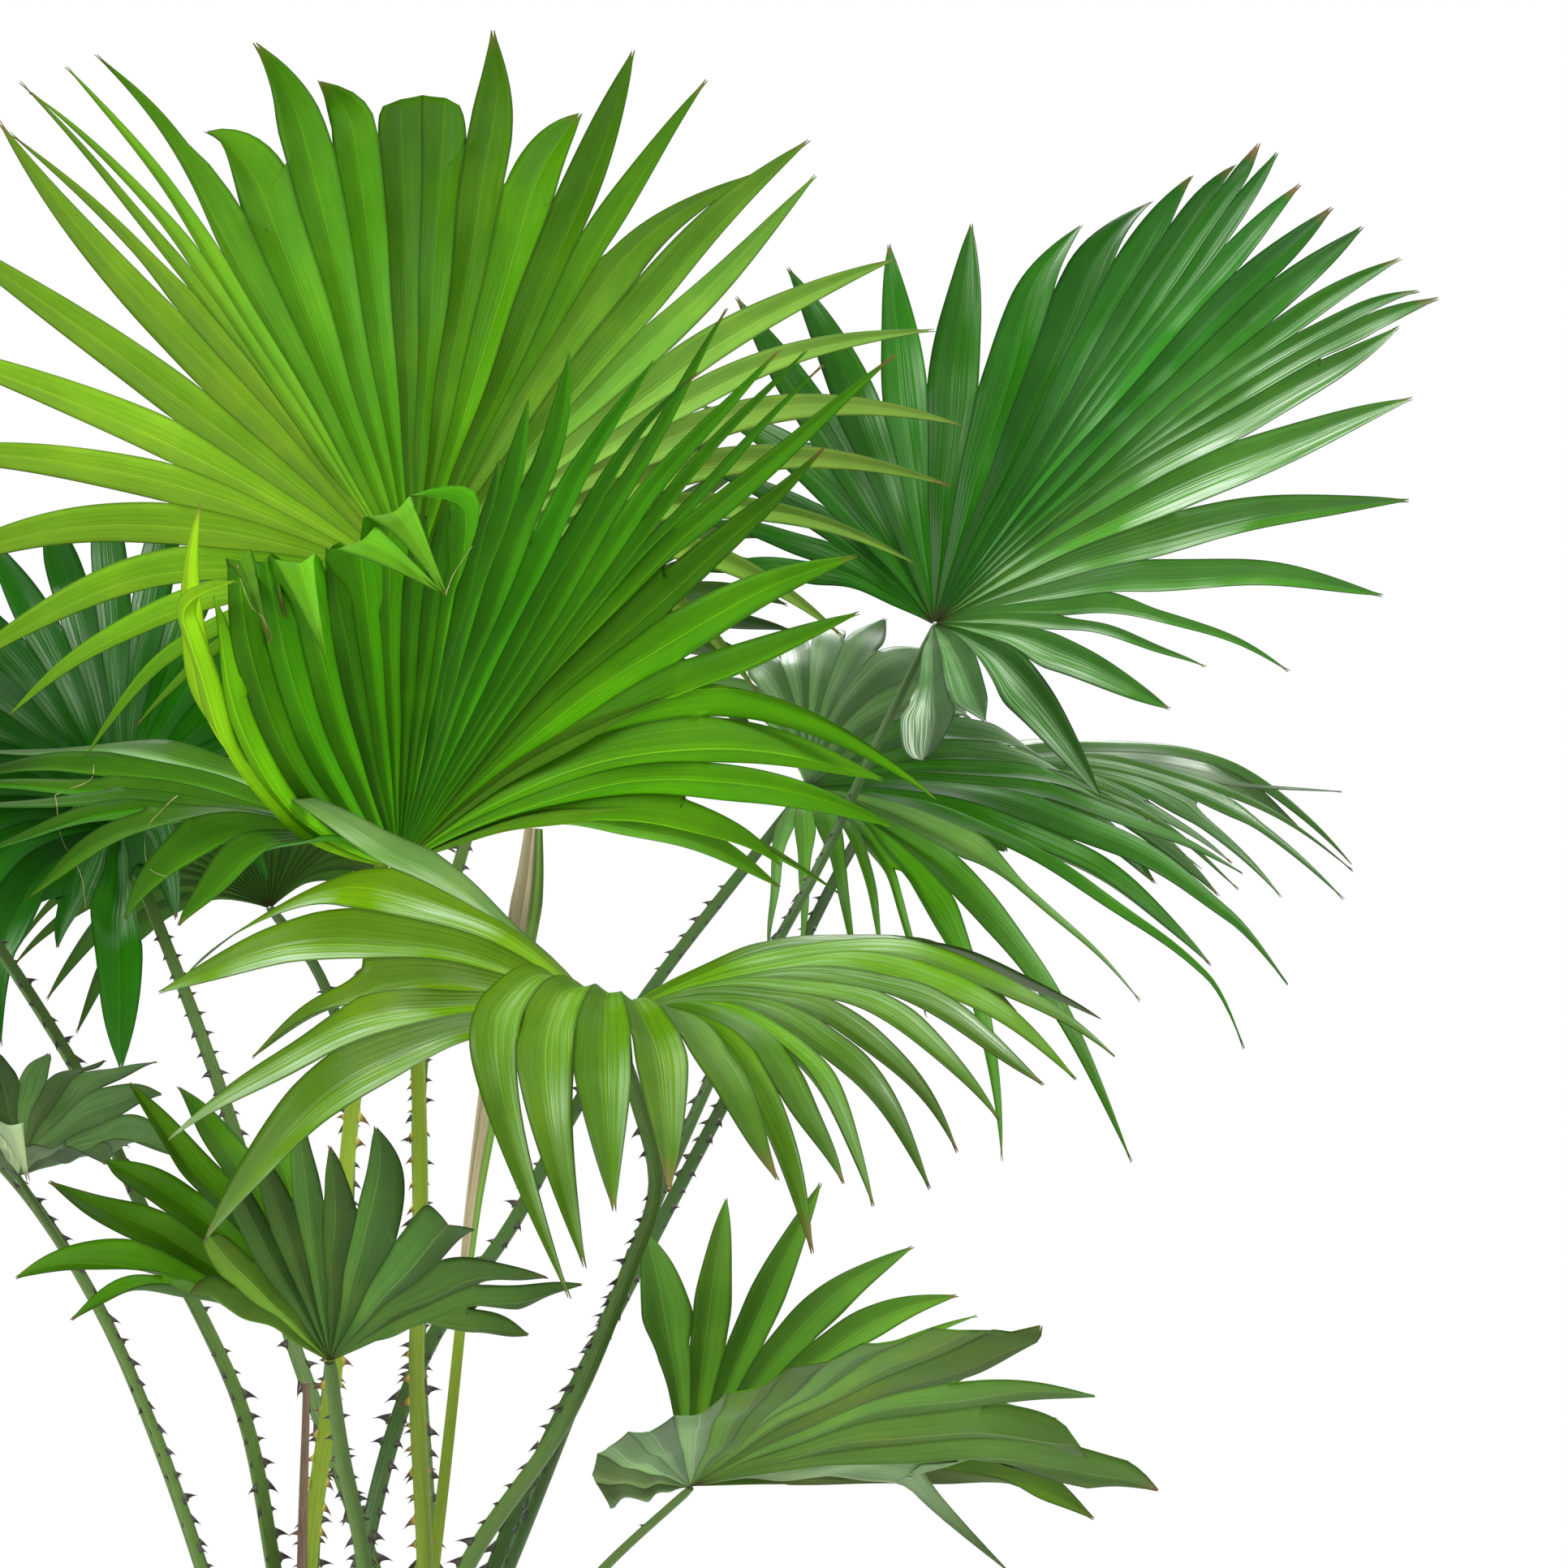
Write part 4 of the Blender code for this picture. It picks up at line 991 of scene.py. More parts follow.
def stalk(name, hub, side, points, foot, radii, skin, thorn, seed):
    """One leaf stalk with its thorns, from the stem's top to the frond's hub."""
    line = rooted(foot, [*points, np.array(hub) - side * STALK_HUB_GAP], STALK_SAMPLES)
    thick, thin = radii
    size = np.linspace(thick, thin, len(line))
    size[-1] *= STALK_NECK
    middle = line[len(line) // 2]
    face = unit(np.array((-middle[0], -middle[1], 0.0)) + STALK_TILT * UP)
    mesh, broad, facing, run = swept("rod_" + name, line, size, STALK_SECTION, face, STALK_FLARE)
    put("rod_" + name, mesh, [skin], ["stalk_" + name])
    edges, marks, growth, links = [], [], [], []
    inside = (run > 0.0) & (run < THORN_END * run[-1])
    for way in (-1, 1):
        first = len(edges)
        for k in np.flatnonzero(inside):
            edges.append(line[k] + size[k] * (EDGE_OUT * way * broad[k] + EDGE_UP * facing[k]))
            marks.append(way * broad[k] + THORN_LIFT * facing[k])
            growth.append(THORN_FOOT_GROWTH - THORN_HUB_GROWTH * run[k] / run[-1])
        links += [(q, q + 1) for q in range(first, len(edges) - 1)]
    guide = bpy.data.meshes.new("edges_" + name)
    guide.from_pydata([tuple(p) for p in edges], links, [])
    outward = guide.attributes.new("outward", "FLOAT_VECTOR", "POINT")
    outward.data.foreach_set("vector", np.array(marks, np.float32).ravel())
    grow = guide.attributes.new("growth", "FLOAT", "POINT")
    grow.data.foreach_set("value", np.array(growth, np.float32))
    made = grown("thorns_" + name, guide, thorn_group, {
        "Thorn": thorn_guide, "Spacing": THORN_SPACING, "Length": THORN_LENGTH, "Seed": seed,
        "Finish": thorn})
    put("thorns_" + name, made, [])


def fan(name, hub, points, foot, radii, bark, seeds, **blade):
    """An open frond on its stalk. seeds is one for the blade and one for the thorns."""
    side = frond(name, hub, seed=seeds[0], stalk_end=points[-1], **blade)
    stalk(name, hub, side, points, foot, radii, *bark, seeds[1])


# Top frond: the biggest, almost flat to the camera and lit from behind, so that it is yellow-green.
# Its web reaches three quarters of the way at the top and half at the sides. The two leaflets in the
# middle are still joined and end blunt, and their neighbours are short.
TOP_HUB = (0.04, 0.10, 1.505)
TOP_STALK = [
    (-0.045, 0.03, 0.65), (-0.025, 0.05, 0.815), (-0.015, 0.07, 1.0), (0.0, 0.08, 1.14),
    (0.015, 0.09, 1.27)]
TOP_TIPS = [
    (171, 899, -0.02, 0.02), (107, 924, -0.01, 0.02), (12, 890, 0.0, 0.025), (-70, 830, 0.02, 0.03),
    (-150, 722, 0.04, 0.035), (-170, 560, 0.06, 0.03), (-150, 420, 0.07, 0.02), (-100, 262, 0.08, 0.01),
    (3, 140, 0.09, 0.01), (10, 163, 0.10, 0.01, {"wide": 0.7}), (21, 102, 0.11, 0.0, {"wide": 0.8}),
    (40, 106, 0.12, 0.0, {"wide": 0.8}), (79, 78, 0.13, 0.0, {"wide": 0.8}),
    (105, 77, 0.14, 0.0, {"wide": 0.55}), (257, 160, 0.17, 0.0, {"taper": 3}), (310, 57, 0.19, 0.0),
    (393, 108, 0.20, 0.0, {"taper": 3}), (487, 124, 0.21, 0.0, {"blunt": 1, "split": 1.0}),
    (533, 122, 0.21, 0.0, {"blunt": 1}), (615, 40, 0.22, 0.0), (708, 131, 0.21, 0.0, {"taper": 3}),
    (778, 60, 0.20, 0.0), (874, 101, 0.18, 0.0), (923, 204, 0.16, 0.01), (998, 165, 0.15, 0.0),
    (1009, 217, 0.14, 0.01), (1098, 310, 0.12, 0.01), (1156, 418, 0.11, 0.02), (1189, 525, 0.10, 0.03),
    (1173, 602, 0.11, 0.03), (1130, 690, 0.13, 0.04), (1040, 780, 0.15, 0.04), (930, 850, 0.17, 0.04)]
TOP_WEB = [
    -115, -110, -104, -96, -86, -75, -64.7, -53.7, -45, -39.8, -36.5, -34, -31.6, -28.6, -21.5, -14.3,
    -8.2, -2.4, 2.8, 8.8, 15.9, 22.8, 28.2, 33.6, 39.8, 46, 53, 60, 67, 74, 82, 90, 98]
TOP_SPLITS = [
    0.42, 0.42, 0.43, 0.44, 0.45, 0.457, 0.45, 0.485, 0.55, 0.58, 0.57, 0.61, 0.60, 0.70, 0.80, 0.81,
    0.90, 1.0, 0.84, 0.77, 0.73, 0.66, 0.67, 0.655, 0.57, 0.585, 0.587, 0.55, 0.5, 0.48, 0.46, 0.45]
fan("top", TOP_HUB, TOP_STALK, foot=(-0.032, 0.006), radii=(0.0085, 0.0055), bark=lime_bark,
    seeds=(11, 21), runs=[seen(TOP_HUB, TOP_TIPS)], split=0.6, skins=plain_skins,
    upper=(0.056, 0.20, 0.001), under=(0.06, 0.215, 0.001), loose=0.15, web=TOP_WEB, splits=TOP_SPLITS,
    tints=[(1.5, 1.2, 1), (2.3, 1.55, 1), (1.7, 1.35, 1), (0.95, 1.03, 1), (1.15, 1.07, 1), (1.9, 1.4, 2),
           (2.2, 1.4, 2)], pales=(0.0, 0.08, 0.05, 0.0, 0.0, 0.12, 0.1), contrast=0.18, pleat=0.4)

# Centre frond: its near half rises towards the camera and shows its underside, dark in the middle.
# Some leaflets there fold over and hang, and the ones on the left lie long and narrow.
CENTRE_HUB = (0.045, -0.12, 1.26)
CENTRE_STALK = [
    (0.06, -0.02, 0.655), (0.055, -0.05, 0.84), (0.06, -0.07, 0.95), (0.06, -0.09, 1.065),
    (0.055, -0.11, 1.185)]
CENTRE_LEFT_TIPS = [
    (240, 1010, 0.22, 0.05), (100, 960, 0.20, 0.05), (-30, 915, 0.17, 0.04), (-60, 945, 0.12, 0.03),
    (-70, 985, 0.05, 0.03), (-60, 1030, -0.02, 0.04), (-30, 1062, -0.09, 0.04), (34, 1090, -0.16, 0.05),
    (150, 1115, -0.24, 0.04), (221, 1138, -0.30, 0.04)]
CENTRE_FAN_TIPS = [
    (230, 628, -0.25, -0.082, {"tint": (6.6, 2.7, 14), "wide": 1.7, "split": 0.5}),
    (236, 760, -0.28, -0.072,
     {"hang": (293, 716, -0.35), "tint": (5.2, 2.4, 8), "split": 0.55, "wide": 1.6}),
    (262, 735, -0.29, -0.062, {"tint": (2.6, 1.6, 4), "split": 0.72, "wide": 1.3}),
    (292, 700, -0.30, -0.05,
     {"hang": (332, 792, -0.34), "split": 0.75, "tint": (1.2, 1.1, 1), "light": 1.6, "wide": 1.3}),
    (328, 682, -0.31, -0.038, {"hang": (352, 762, -0.30), "split": 0.8}),
    (371, 686, -0.325, -0.02,
     {"hang": (400, 806, -0.40), "split": 0.74, "tint": (1.3, 1.15, 1), "light": 2.1, "wide": 2.0,
      "taper": 2.2}),
    (408, 676, -0.335, -0.01, {"hang": (412, 770, -0.28), "split": 0.8}),
    (440, 655, -0.345, 0.0,
     {"hang": (541, 728, -0.43), "split": 0.74, "tint": (1.3, 1.15, 1), "light": 2.0, "wide": 2.7,
      "taper": 2.2}),
    (478, 633, -0.35, 0.0,
     {"hang": (549, 733, -0.45), "split": 0.74, "tint": (1.3, 1.1, 1), "light": 1.9, "wide": 2.7,
      "taper": 2.2}),
    (516, 622, -0.355, 0.0, {"hang": (520, 700, -0.28), "split": 0.8}),
    (552, 612, -0.36, 0.0, {"split": 0.8}),
    (582, 648, -0.36, 0.0,
     {"hang": (502, 611, -0.42), "split": 0.76, "tint": (1.1, 1.0, 1), "wide": 2.2, "taper": 2.2}),
    (622, 570, -0.35, 0.0, {"split": 0.8}), (655, 500, -0.33, 0.0, {"split": 0.75}),
    (716, 431, -0.30, 0.0), (788, 432, -0.27, 0.0), (845, 445, -0.24, 0.0), (897, 375, -0.20, 0.0),
    (945, 420, -0.17, 0.0), (980, 411, -0.15, 0.0), (1000, 440, -0.13, 0.01), (1115, 445, -0.10, 0.02),
    (1019, 551, -0.06, 0.02), (1061, 684, 0.0, 0.03), (1061, 751, 0.02, 0.03), (1157, 981, 0.03, 0.09),
    (1090, 957, 0.05, 0.06), (1095, 1004, 0.06, 0.05), (960, 1045, 0.08, 0.03), (1035, 1083, 0.10, 0.06),
    (960, 1098, 0.13, 0.05)]
fan("centre", CENTRE_HUB, CENTRE_STALK, foot=(0.056, 0.008), radii=(0.008, 0.006), bark=lime_bark,
    seeds=(12, 22), runs=[seen(CENTRE_HUB, CENTRE_LEFT_TIPS), seen(CENTRE_HUB, CENTRE_FAN_TIPS)],
    split=0.62, skins=plain_skins, upper=(0.045, 0.17, 0.003), under=(0.055, 0.28, 0.001), loose=0.15,
    pleat=0.42,
    tints=[(1.6, 1.4, 1), (1.0, 1.0, 1), (1.3, 1.2, 1), (0.95, 0.92, 1), (0.95, 0.96, 1.2),
           (0.85, 0.96, 1.4), (1.1, 1.0, 2), (1.8, 1.3, 2.2), (2.1, 1.4, 3)], contrast=0.38)

# Front frond: an umbrella that droops on all sides of its hub, light green with a pale sheen.
# The lowest leaflets in front curl under, and some tips there have dried.
FRONT_HUB = (0.23, -0.34, 1.14)
FRONT_STALK = [
    (0.10, -0.12, 0.67), (0.19, -0.18, 0.81), (0.24, -0.23, 0.93), (0.265, -0.27, 1.005),
    (0.25, -0.31, 1.08)]
FRONT_LEFT_TIPS = [
    (336, 985, -0.20, 0.02, {"wide": 0.9, "pale": 0.2, "tint": (0.95, 1.05, 1)}),
    (222, 1180, -0.26, 0.06, {"wide": 0.85}), (196, 1220, -0.32, 0.05, {"wide": 0.85}),
    (310, 1297, -0.40, 0.04, {"wide": 0.6}), (208, 1393, -0.46, 0.05, {"wide": 1.0}),
    (248, 1514, -0.52, 0.05, {"wide": 1.0})]
FRONT_FAN_TIPS = [
    (703, 1607, -0.58, 0.08, {"aim": (560, 1420, -0.60)}),
    (720, 1564, -0.62, 0.08, {"aim": (640, 1450, -0.64)}), (757, 1511, -0.66, 0.08),
    (825, 1464, -0.67, 0.07, {"scorch": 0.7}), (949, 1463, -0.66, 0.07, {"scorch": 0.6}),
    (1003, 1532, -0.62, 0.06, {"scorch": 0.7}), (1037, 1464, -0.60, 0.07), (1073, 1493, -0.56, 0.06),
    (1151, 1429, -0.52, 0.06), (1184, 1399, -0.48, 0.06), (1233, 1368, -0.45, 0.06),
    (1287, 1334, -0.41, 0.06), (1326, 1327, -0.37, 0.06), (1380, 1265, -0.31, 0.06),
    (1359, 1242, -0.25, 0.06), (1250, 1225, -0.17, 0.05)]
fan("front", FRONT_HUB, FRONT_STALK, foot=(0.026, -0.040), radii=(0.010, 0.006), bark=green_bark,
    seeds=(13, 23), runs=[seen(FRONT_HUB, FRONT_LEFT_TIPS), seen(FRONT_HUB, FRONT_FAN_TIPS)], split=0.58,
    skins=glossy_skins, upper=(0.068, 0.185, 0.002), under=(0.058, 0.15, 0.005), loose=0.15, pleat=0.36,
    broad=1.2, contrast=0.28, shines=(1.2, 0.55, 0.05, 0.25, 0.7),
    tints=[(1.4, 1.2, 1.6), (1.2, 1.1, 1), (0.85, 0.9, 1), (0.95, 0.95, 1), (1, 1, 1)])

# Upper right frond: dark and glossy, leaning to the right. Its leaflets are broad at the upper left
# and close together on the right, and two short blunt ones hang under the hub.
RIGHT_HIGH_HUB = (0.505, 0.25, 1.475)
RIGHT_HIGH_STALK = [
    (0.13, -0.05, 0.66), (0.25, 0.03, 0.955), (0.35, 0.12, 1.17), (0.405, 0.17, 1.27),
    (0.45, 0.21, 1.365), (0.475, 0.23, 1.415)]
RIGHT_HIGH_TIPS = [
    (845, 700, 0.36, 0.02), (858, 640, 0.40, 0.02), (872, 585, 0.43, 0.02), (870, 500, 0.45, 0.02),
    (905, 357, 0.48, 0.01), (972, 330, 0.47, 0.01), (1093, 298, 0.46, 0.0), (1192, 266, 0.42, 0.0),
    (1320, 263, 0.38, 0.0), (1411, 234, 0.34, 0.0), (1475, 214, 0.30, 0.0), (1517, 198, 0.27, 0.0),
    (1557, 178, 0.25, 0.0), (1570, 182, 0.24, 0.0), (1604, 223, 0.22, 0.01), (1644, 256, 0.20, 0.01),
    (1688, 284, 0.18, 0.01), (1725, 305, 0.16, 0.01), (1750, 352, 0.15, 0.02), (1770, 360, 0.14, 0.02),
    (1715, 395, 0.13, 0.02), (1740, 486, 0.12, 0.02), (1742, 625, 0.10, 0.02), (1705, 733, 0.04, 0.02),
    (1590, 822, -0.02, 0.02, {"wide": 0.5}), (1487, 814, -0.03, 0.02, {"wide": 0.7}),
    (1430, 864, -0.02, 0.02, {"wide": 2.0, "taper": 2.2}),
    (1350, 974, 0.06, 0.02, {"wide": 1.9, "taper": 2.2}),
    (1212, 885, 0.06, 0.01, {"wide": 1.1, "pale": 0.15, "tint": (0.9, 0.8, 1.2)}),
    (1141, 940, 0.07, 0.01,
     {"blunt": 1, "wide": 1.5, "pale": 0.25, "tint": (0.85, 0.8, 1.1), "shine": 1.5})]
RIGHT_HIGH_SPLITS = [
    0.5, 0.5, 0.5, 0.55, 0.55, 0.52, 0.55, 0.57, 0.71, 0.80, 0.84, 0.84, 0.88, 0.80, 0.80, 0.80, 0.78,
    0.78, 0.84, 0.80, 0.66, 0.52, 0.47, 0.42, 0.36, 0.30, 0.33, 0.42, 0.62]
fan("right_high", RIGHT_HIGH_HUB, RIGHT_HIGH_STALK, foot=(0.002, -0.014), radii=(0.010, 0.006),
    bark=dark_bark, seeds=(14, 24), runs=[seen(RIGHT_HIGH_HUB, RIGHT_HIGH_TIPS)], split=0.58,
    skins=glossy_skins, upper=(0.014, 0.115, 0.001), under=(0.022, 0.115, 0.003), loose=0.15,
    splits=RIGHT_HIGH_SPLITS,
    tints=[(1, 1.1, 1), (1.3, 1.3, 1), (1.0, 1.2, 1), (0.9, 1.2, 1), (1.5, 1.4, 1), (1.5, 1.4, 1),
           (1.2, 1.2, 1)], contrast=0.34, shines=(0.2, 0.6, 0.3, 0.2, 0.8, 1.2, 1.2, 0.8, 0.5),
    pales=(0, 0.05, 0, 0, 0.06, 0.10, 0.08, 0.08))

# Right frond in the middle: a pleated blade behind the upper right one, on a stiff stalk of its own.
# Its right leaflets bow over and droop, and its back part is painted pale and bright: a painted sheen on
# leaflets that lie in shade.
RIGHT_MID_HUB = (0.39, 0.42, 1.325)
RIGHT_MID_STALK = [
    (0.0, 0.04, 0.645), (0.055, 0.12, 0.835), (0.125, 0.18, 0.935), (0.165, 0.22, 1.01),
    (0.235, 0.30, 1.125), (0.335, 0.38, 1.255)]
RIGHT_MID_TIPS = [
    (950, 1182, 0.30, 0.04, {"wide": 0.7}), (985, 1190, 0.28, 0.04, {"wide": 0.7}),
    (1050, 1188, 0.26, 0.05, {"wide": 0.7}), (1085, 1180, 0.25, 0.05, {"wide": 0.7}),
    (1150, 1240, 0.23, 0.04, {"wide": 0.5}), (1228, 1432, 0.18, 0.05, {"wide": 0.6}),
    (1400, 1402, 0.20, 0.05, {"wide": 0.8}), (1405, 1225, 0.24, 0.04, {"wide": 0.35, "pale": 0.25}),
    (1481, 1213, 0.27, 0.05, {"hang": (1533, 1292, 0.25), "bend": 0.75}), (1487, 1200, 0.30, 0.035),
    (1514, 1132, 0.36, 0.05, {"hang": (1587, 1213, 0.33), "bend": 0.75}), (1527, 1088, 0.41, 0.045),
    (1480, 1060, 0.45, 0.045), (1400, 1010, 0.49, 0.04), (1290, 945, 0.52, 0.04), (1205, 890, 0.55, 0.04),
    (1150, 790, 0.57, 0.04), (1090, 765, 0.58, 0.03), (1030, 765, 0.59, 0.03), (975, 775, 0.58, 0.03),
    (920, 800, 0.56, 0.03), (860, 850, 0.53, 0.03)]
RIGHT_MID_SPLITS = [
    0.4, 0.4, 0.4, 0.4, 0.42, 0.42, 0.42, 0.42, 0.45, 0.48, 0.5, 0.55, 0.6, 0.65, 0.7, 0.75, 0.7, 0.7,
    0.7, 0.7, 0.65]
# The brighter tints and pale green on its back leaflets are a painted sheen
fan("right_mid", RIGHT_MID_HUB, RIGHT_MID_STALK, foot=(-0.010, 0.012), radii=(0.009, 0.0055),
    bark=dark_bark, seeds=(15, 25), runs=[seen(RIGHT_MID_HUB, RIGHT_MID_TIPS)], split=0.64,
    skins=glossy_skins, upper=(0.036, 0.18, 0.001), under=(0.06, 0.17, 0.012), loose=0.15,
    splits=RIGHT_MID_SPLITS, pleat=0.24, broad=1.1, shines=(0.1, 0.1, 0.3, 0.2, 0.6, 1.2, 1.0),
    tints=[(1.6, 1.2, 2), (1.6, 1.2, 1), (1.5, 1.3, 1), (1, 1.2, 1), (1, 1.1, 1), (1.3, 1.3, 1.5),
           (2.1, 2.1, 2.6), (2.0, 2.0, 2.4)], pales=(0.1, 0, 0, 0, 0.05, 0.45, 0.5, 0.4), contrast=0.28)

# Right frond at the back: long arching leaflets that reach past the one before it. Its stalk grows
# from the back of the stem's top.
RIGHT_BACK_HUB = (0.465, 0.70, 1.315)
RIGHT_BACK_STALK = [
    (0.11, 0.16, 0.63), (0.235, 0.34, 0.885), (0.335, 0.49, 1.07), (0.38, 0.57, 1.16), (0.43, 0.65, 1.255)]
RIGHT_BACK_TIPS = [
    (1150, 1060, 0.62, 0.03), (1240, 1050, 0.63, 0.04), (1330, 1050, 0.64, 0.05),
    (1420, 1090, 0.64, 0.05), (1500, 1110, 0.64, 0.06), (1525, 1095, 0.64, 0.06),
    (1515, 1065, 0.65, 0.06), (1577, 1107, 0.66, 0.07, {"wide": 0.6}),
    (1655, 1105, 0.67, 0.075, {"wide": 0.5}), (1660, 1082, 0.68, 0.075),
    (1650, 985, 0.70, 0.05, {"wide": 0.25, "pale": 0.6, "tint": (1, 1, 1.2)}), (1672, 1040, 0.72, 0.075),
    (1600, 1010, 0.80, 0.06), (1500, 985, 0.88, 0.05), (1380, 965, 0.96, 0.04), (1250, 945, 1.0, 0.03),
    (1140, 900, 1.0, 0.03), (1040, 880, 0.98, 0.03)]
fan("right_back", RIGHT_BACK_HUB, RIGHT_BACK_STALK, foot=(0.036, 0.044), radii=(0.009, 0.0055),
    bark=dark_bark, seeds=(16, 26), runs=[seen(RIGHT_BACK_HUB, RIGHT_BACK_TIPS)], split=0.70,
    skins=glossy_skins, upper=(0.032, 0.145, 0.002), under=(0.055, 0.16, 0.012), loose=0.15, pleat=0.26,
    shines=(0.2, 0.3, 0.9, 1.2, 0.6), pales=(0, 0.04, 0.08, 0.12, 0.1))

# Low right frond: the back half stands up bright green, the front half turns its dull underside up
# and stays joined for most of its length. The leaflets that point at the camera are cut short.
RIGHT_LOW_HUB = (0.29, -0.15, 0.745)
RIGHT_LOW_STALK = [(0.085, -0.05, 0.49), (0.15, -0.08, 0.59), (0.215, -0.11, 0.67)]
CUT = {"blunt": 1, "split": 1.0}
GREY_CUT = {**CUT, "pale": 0.75, "tint": (1.05, 1.2, 1.1)}
RIGHT_LOW_TIPS = [
    (797, 1505, -0.02, 0.01, {"wide": 1.75, "taper": 1.9, "pale": 0.2}), (897, 1461, 0.0, 0.01),
    (1009, 1467, 0.02, 0.01), (1125, 1536, 0.02, 0.02), (1187, 1591, 0.02, 0.02),
    (1219, 1610, 0.02, 0.02, {"wide": 0.4}), (1230, 1671, 0.02, 0.02), (1310, 1740, 0.01, 0.02),
    (1352, 1862, -0.05, 0.0, {"tint": (0.9, 0.7, 1)}),
    (1135, 1838, -0.10, 0.01,
     {"hang": (1245, 1938, -0.13), "wide": 0.5, "pale": 0.9, "tint": (1.3, 1.3, 1.3)}),
    (1425, 1852, -0.16, 0.02, {"taper": 1.3, "wide": 1.0}),
    (1330, 1774, -0.24, 0.02, {"blunt": 1, "wide": 1.1}),
    (1350, 1708, -0.32, 0.02, {"taper": 1.3, "wide": 1.05}),
    (1283, 1634, -0.38, 0.01, {"taper": 1.3, "wide": 1.05}),
    (1190, 1638, -0.42, 0.01, CUT), (1105, 1650, -0.45, 0.01, CUT), (1020, 1672, -0.46, 0.0, CUT),
    (935, 1710, -0.45, 0.0, CUT), (865, 1748, -0.42, 0.0, GREY_CUT), (805, 1758, -0.38, 0.0, GREY_CUT),
    (752, 1776, -0.34, 0.0, GREY_CUT), (729, 1815, -0.29, 0.0, {**CUT, "pale": 0.25}),
    (748, 1850, -0.24, 0.0, {"blunt": 1, "pale": 0.25})]
RIGHT_LOW_SPLITS = [
    0.45, 0.45, 0.48, 0.52, 0.6, 0.6, 0.6, 0.65, 0.7, 0.8, 0.93, 0.70, 0.67, 0.95, 1, 1, 1, 1, 1, 1, 1, 1]
fan("right_low", RIGHT_LOW_HUB, RIGHT_LOW_STALK, foot=(0.048, -0.020), radii=(0.0075, 0.0048),
    bark=green_bark, seeds=(17, 27), runs=[seen(RIGHT_LOW_HUB, RIGHT_LOW_TIPS)], split=0.58,
    skins=plain_skins, upper=(0.095, 0.30, 0.004), under=(0.092, 0.195, 0.028), loose=0.1,
    splits=RIGHT_LOW_SPLITS, pleat=0.22, broad=1.2, contrast=0.32, pales=(0.14, 0.10, 0.04, 0, 0))

# Left frond in the middle: dark and glossy, cut by the photograph's edge. Past that edge its leaflets
# go on in the same fan.
LEFT_MID_HUB = (-0.26, 0.42, 1.285)
LEFT_MID_STALK = [
    (0.005, 0.10, 0.635), (-0.035, 0.15, 0.73), (-0.075, 0.19, 0.825), (-0.135, 0.28, 1.0),
    (-0.185, 0.34, 1.12), (-0.22, 0.38, 1.195)]
LEFT_MID_TIPS = [
    (330, 1085, 0.38, 0.04), (365, 1030, 0.42, 0.04), (395, 930, 0.46, 0.03), (390, 820, 0.50, 0.03),
    (350, 720, 0.54, 0.03), (285, 655, 0.56, 0.02), (210, 625, 0.56, 0.02, {"taper": 5}),
    (130, 628, 0.56, 0.02, {"taper": 5}), (55, 640, 0.55, 0.02, {"taper": 5}), (-20, 655, 0.54, 0.02),
    (-80, 710, 0.52, 0.02), (-130, 790, 0.50, 0.03), (-160, 880, 0.46, 0.04), (-170, 970, 0.40, 0.05),
    (-165, 1060, 0.36, 0.06), (-140, 1150, 0.33, 0.06), (-80, 1240, 0.31, 0.06),
    (2, 1290, 0.30, 0.05, {"wide": 0.6}), (70, 1165, 0.29, 0.04, {"wide": 0.5}),
    (149, 1314, 0.28, 0.04, {"taper": 5, "wide": 1.05, "tint": (2.2, 1.6, 1), "shine": 1.2}),
    (215, 1130, 0.28, 0.04, {"wide": 0.5})]
fan("left_mid", LEFT_MID_HUB, LEFT_MID_STALK, foot=(0.034, 0.018), radii=(0.008, 0.0055), bark=green_bark,
    seeds=(18, 28), runs=[seen(LEFT_MID_HUB, LEFT_MID_TIPS)], split=0.62, skins=glossy_skins,
    upper=(0.014, 0.15, 0.001), under=(0.018, 0.15, 0.002), loose=0.15, shines=(0.3, 0.8, 0.4))

# Low front frond: small, cupped towards the camera, grey-green underneath. Its left edge is torn,
# and the leaflets of its far half stand out dark behind.
FRONT_LOW_HUB = (-0.005, -0.20, 0.855)
FRONT_LOW_STALK = [(0.015, -0.10, 0.67), (0.0, -0.15, 0.775)]
FRONT_LOW_TIPS = [
    (650, 1652, -0.22, 0.02), (717, 1577, -0.28, 0.01), (675, 1562, -0.34, 0.01),
    (548, 1512, -0.42, 0.0, {"taper": 6}), (470, 1378, -0.38, 0.0, {"taper": 2.6}),
    (413, 1402, -0.36, 0.0), (367, 1349, -0.35, 0.0), (308, 1402, -0.34, 0.0),
    (288, 1450, -0.34, 0.0, {"blunt": 1}), (262, 1530, -0.34, 0.0, {"blunt": 1, "tint": (2.1, 1.9, 1)}),
    (238, 1575, -0.32, 0.0, {"blunt": 1, "scorch": 0.4, "tint": (2.1, 1.9, 1)}), (88, 1625, -0.24, 0.02),
    (19, 1575, -0.17, 0.02), (61, 1456, -0.13, 0.02), (130, 1432, -0.11, 0.02, {"taper": 4}),
    (157, 1339, -0.08, 0.01), (222, 1328, -0.04, 0.01), (330, 1380, -0.02, 0.01)]
fan("front_low", FRONT_LOW_HUB, FRONT_LOW_STALK, foot=(-0.002, -0.042), radii=(0.009, 0.0055),
    bark=green_bark, seeds=(19, 29), runs=[seen(FRONT_LOW_HUB, FRONT_LOW_TIPS)], split=0.64,
    skins=plain_skins, upper=(0.056, 0.19, 0.001), under=(0.078, 0.182, 0.034), loose=0.1, contrast=0.3)

